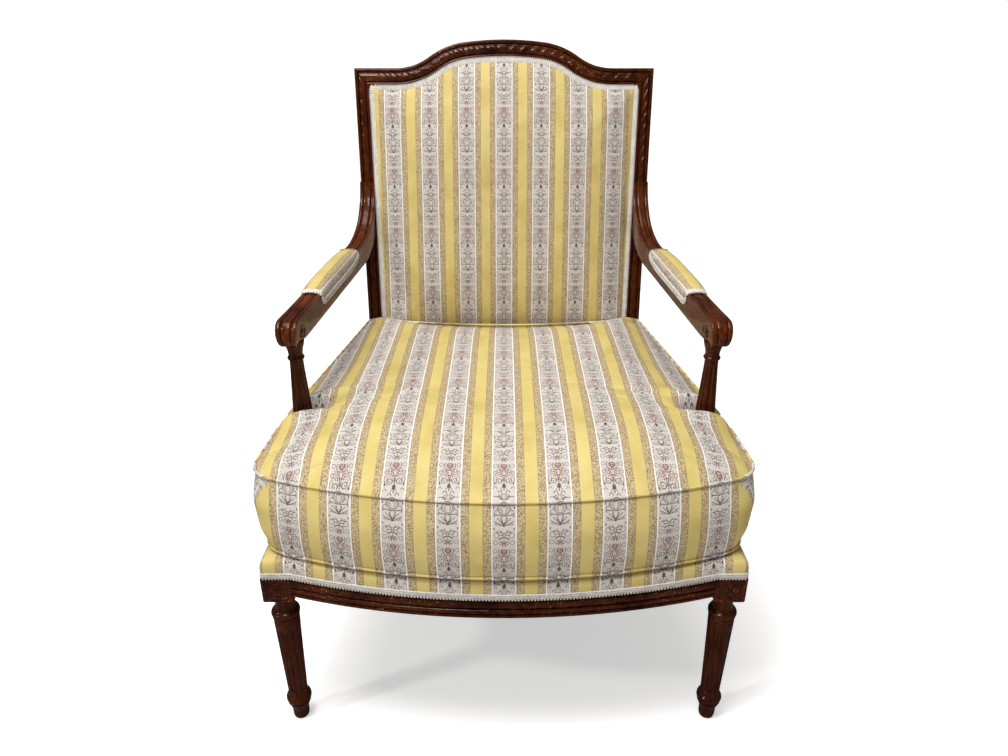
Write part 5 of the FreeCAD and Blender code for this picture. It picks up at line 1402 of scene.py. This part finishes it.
def arm_braids():
    path = []
    start, end = PAD_START - 0.6, PAD_START + PAD_LENGTH + 0.6
    turn = Matrix.Rotation(ARM_TOE, 3, "Z")

    def add(x, along, z, out, side):
        path.append((on_arm(x, along, z), turn @ Vector(out), turn @ Vector(side)))

    flap = [mix(start + 3, end - 5, k / 60) for k in range(61)]
    for along in reversed(flap):
        add(-17.7, along, pad_flap(along) + 4.2, (-1, 0, 0), (0, 0, -1))
    front = pad_section(PAD_START + 2)
    for x, z in front[3:-3]:
        add(x * 0.93, start, mix(ARM_TOP, z, 0.75) if z > ARM_TOP else z, (0, -1, 0),
            (0, -0.3, -1) if z < ARM_TOP else (0, -0.9, -0.4))
    for along in flap:
        add(17.7, along, pad_flap(along) + 4.2, (1, 0, 0), (0, 0, -1))
    for x, z in reversed(pad_section(PAD_START + PAD_LENGTH - 2)[4:-4]):
        add(x * 0.93, end, mix(ARM_TOP, z, 0.5) if z > ARM_TOP else z, (0, 1, 0), (0, 0.4, -1))
    for side in ("right", "left"):
        braid("arm_braid_%s" % side, path, 7.6, "arm_gimp_%s" % side, closed=True, mirrored=side == "left")


# The chair

def woodwork():
    for name, shape, material, node in (
            ("crest", crest_shape(), WOOD_CARVED, "crest_rail"),
            ("low_rail", low_rail_shape(), WOOD_ACROSS, "back_lower_rail"),
            ("front_rail", front_rail_shape(), WOOD_CARVED, "front_seat_rail")):
        finished(name, shape.mesh(name), material, stands_for=[node])
    for name, shape, material, nodes, crease in (
            ("back_post", stile_shape(), WOOD_UP, ["back_stile"], 35),
            ("side_rail", side_rail_shape(), WOOD_BACKWARD_PAINTED_REFLECTION, ["side_seat_rail"], 35),
            ("fluted_leg", front_leg_shape(), WOOD_UP, ["front_leg"], 50),
            ("leg_block", block_shape(), WOOD_UP, (), 35),
            ("block_front_rosette", block_carving("front"), WOOD_CARVED, (), 35),
            ("block_side_rosette", block_carving("side"), WOOD_CARVED, (), 35),
            ("fluted_support", support_shape(), WOOD_UP, ["arm_support"], 50),
            ("scroll_arm", arm_shape(), WOOD_BACKWARD_PAINTED_REFLECTION, ["arm"], 35),
            ("arm_roundel", roundel_shape(), WOOD_BACKWARD_PAINTED_REFLECTION, (), 35)):
        pair(name, shape, material, nodes, crease)


def dress(nodes, material):
    for node in nodes:
        thing = bpy.data.objects[node]
        thing.data.materials.clear()
        thing.data.materials.append(material)


def upholstery():
    back_pad_piece()
    outside_back_piece()
    platform_piece("seat_stuffing", RAIL_TOP + 3.4, RAIL_TOP + 10.5, 8.0, FELT, "platform_pad")
    platform_piece("seat_cover", WOOD_TOP + 0.4, RAIL_TOP + 13.6, 0.9, SILK, "platform_cover")
    for build in (cushion_pieces, arm_pads, back_braids, seat_braid, arm_braids):
        build()


woodwork()
upholstery()
dress(["rear_seat_rail", "front_corner_brace_right", "front_corner_brace_left", "rear_corner_brace_right",
       "rear_corner_brace_left", "frame_pegs"], PLAIN_WOOD)
dress(["seat_webbing", "seat_hessian", "back_webbing", "back_hessian"], JUTE)
dress(["dust_cover"], DUST_CLOTH)
finished("stile_screws", screws_shape().mesh("stile_screws"), SCREW_METAL, stands_for=["arm_screws"])


# Floor, light and camera

ROOM_LIGHT, ROOM_GLEAM, BACKDROP = 0.22, 0.09, 1.0


def studio():
    finish = Finish("pale floor", 0.9)
    pale = finish.blend(finish.noise(finish.place(), 3), "#f3f1ee", "#efedea")
    seen = finish.node("ShaderNodeLightPath")
    finish.colour(finish.blend(Maths(finish.tree, seen.outputs["Is Glossy Ray"]), pale, "#6a6a6a"))
    finish.set("Emission Color", (1, 1, 1, 1))
    finish.link((Maths(finish.tree, seen.outputs["Is Camera Ray"]) * 0.5).socket,
                finish.shader.inputs["Emission Strength"])
    bpy.ops.mesh.primitive_plane_add(size=120, location=(0, 0, 0))
    floor = bpy.context.object
    floor.name = "floor"
    floor.data.materials.append(finish.material)

    world = bpy.data.worlds.new("plain room")
    bpy.context.scene.world = world
    world.use_nodes = True
    nodes, links = world.node_tree.nodes, world.node_tree.links
    path = nodes.new("ShaderNodeLightPath")
    shown = nodes["Background"].outputs[0]
    nodes["Background"].inputs["Color"].default_value = (1, 1, 1, 1)
    nodes["Background"].inputs["Strength"].default_value = ROOM_LIGHT
    for ray, strength in (("Is Glossy Ray", ROOM_GLEAM), ("Is Camera Ray", BACKDROP)):
        light = nodes.new("ShaderNodeBackground")
        light.inputs["Color"].default_value = (1, 1, 1, 1)
        light.inputs["Strength"].default_value = strength
        choice = nodes.new("ShaderNodeMixShader")
        for output, slot in ((path.outputs[ray], 0), (shown, 1), (light.outputs[0], 2)):
            links.new(output, choice.inputs[slot])
        shown = choice.outputs[0]
    links.new(shown, nodes["World Output"].inputs["Surface"])

    for name, place, spread, power in (("overhead", (-0.2, 0.0, 1), 34, 1.4),
                                       ("left window", (-1.3, -0.6, 1.1), 5, 0.65)):
        data = bpy.data.lights.new(name, "SUN")
        data.angle, data.energy = math.radians(spread), power
        light = bpy.data.objects.new(name, data)
        light.rotation_euler = (-Vector(place)).to_track_quat("-Z", "Y").to_euler()
        bpy.context.scene.collection.objects.link(light)

    panel = bpy.data.lights.new("ceiling panel", "AREA")
    panel.shape, panel.size, panel.energy = "SQUARE", 0.5, 17
    lamp = bpy.data.objects.new("ceiling panel", panel)
    lamp.location = (-0.35, -0.75, 2.0)
    lamp.rotation_euler = (Vector(lamp.location) - Vector((0, -0.05, 0.5))).to_track_quat("Z", "Y").to_euler()
    bpy.context.scene.collection.objects.link(lamp)

    camera_data = bpy.data.cameras.new("camera")
    camera_data.lens = CAMERA_LENS
    camera_data.sensor_width = 36
    camera = bpy.data.objects.new("camera", camera_data)
    camera.location = CAMERA_PLACE
    camera.rotation_euler = (math.radians(90 - CAMERA_PITCH), 0, 0)
    bpy.context.scene.collection.objects.link(camera)
    bpy.context.scene.camera = camera
    bpy.context.scene.view_settings.view_transform = "Standard"


studio()
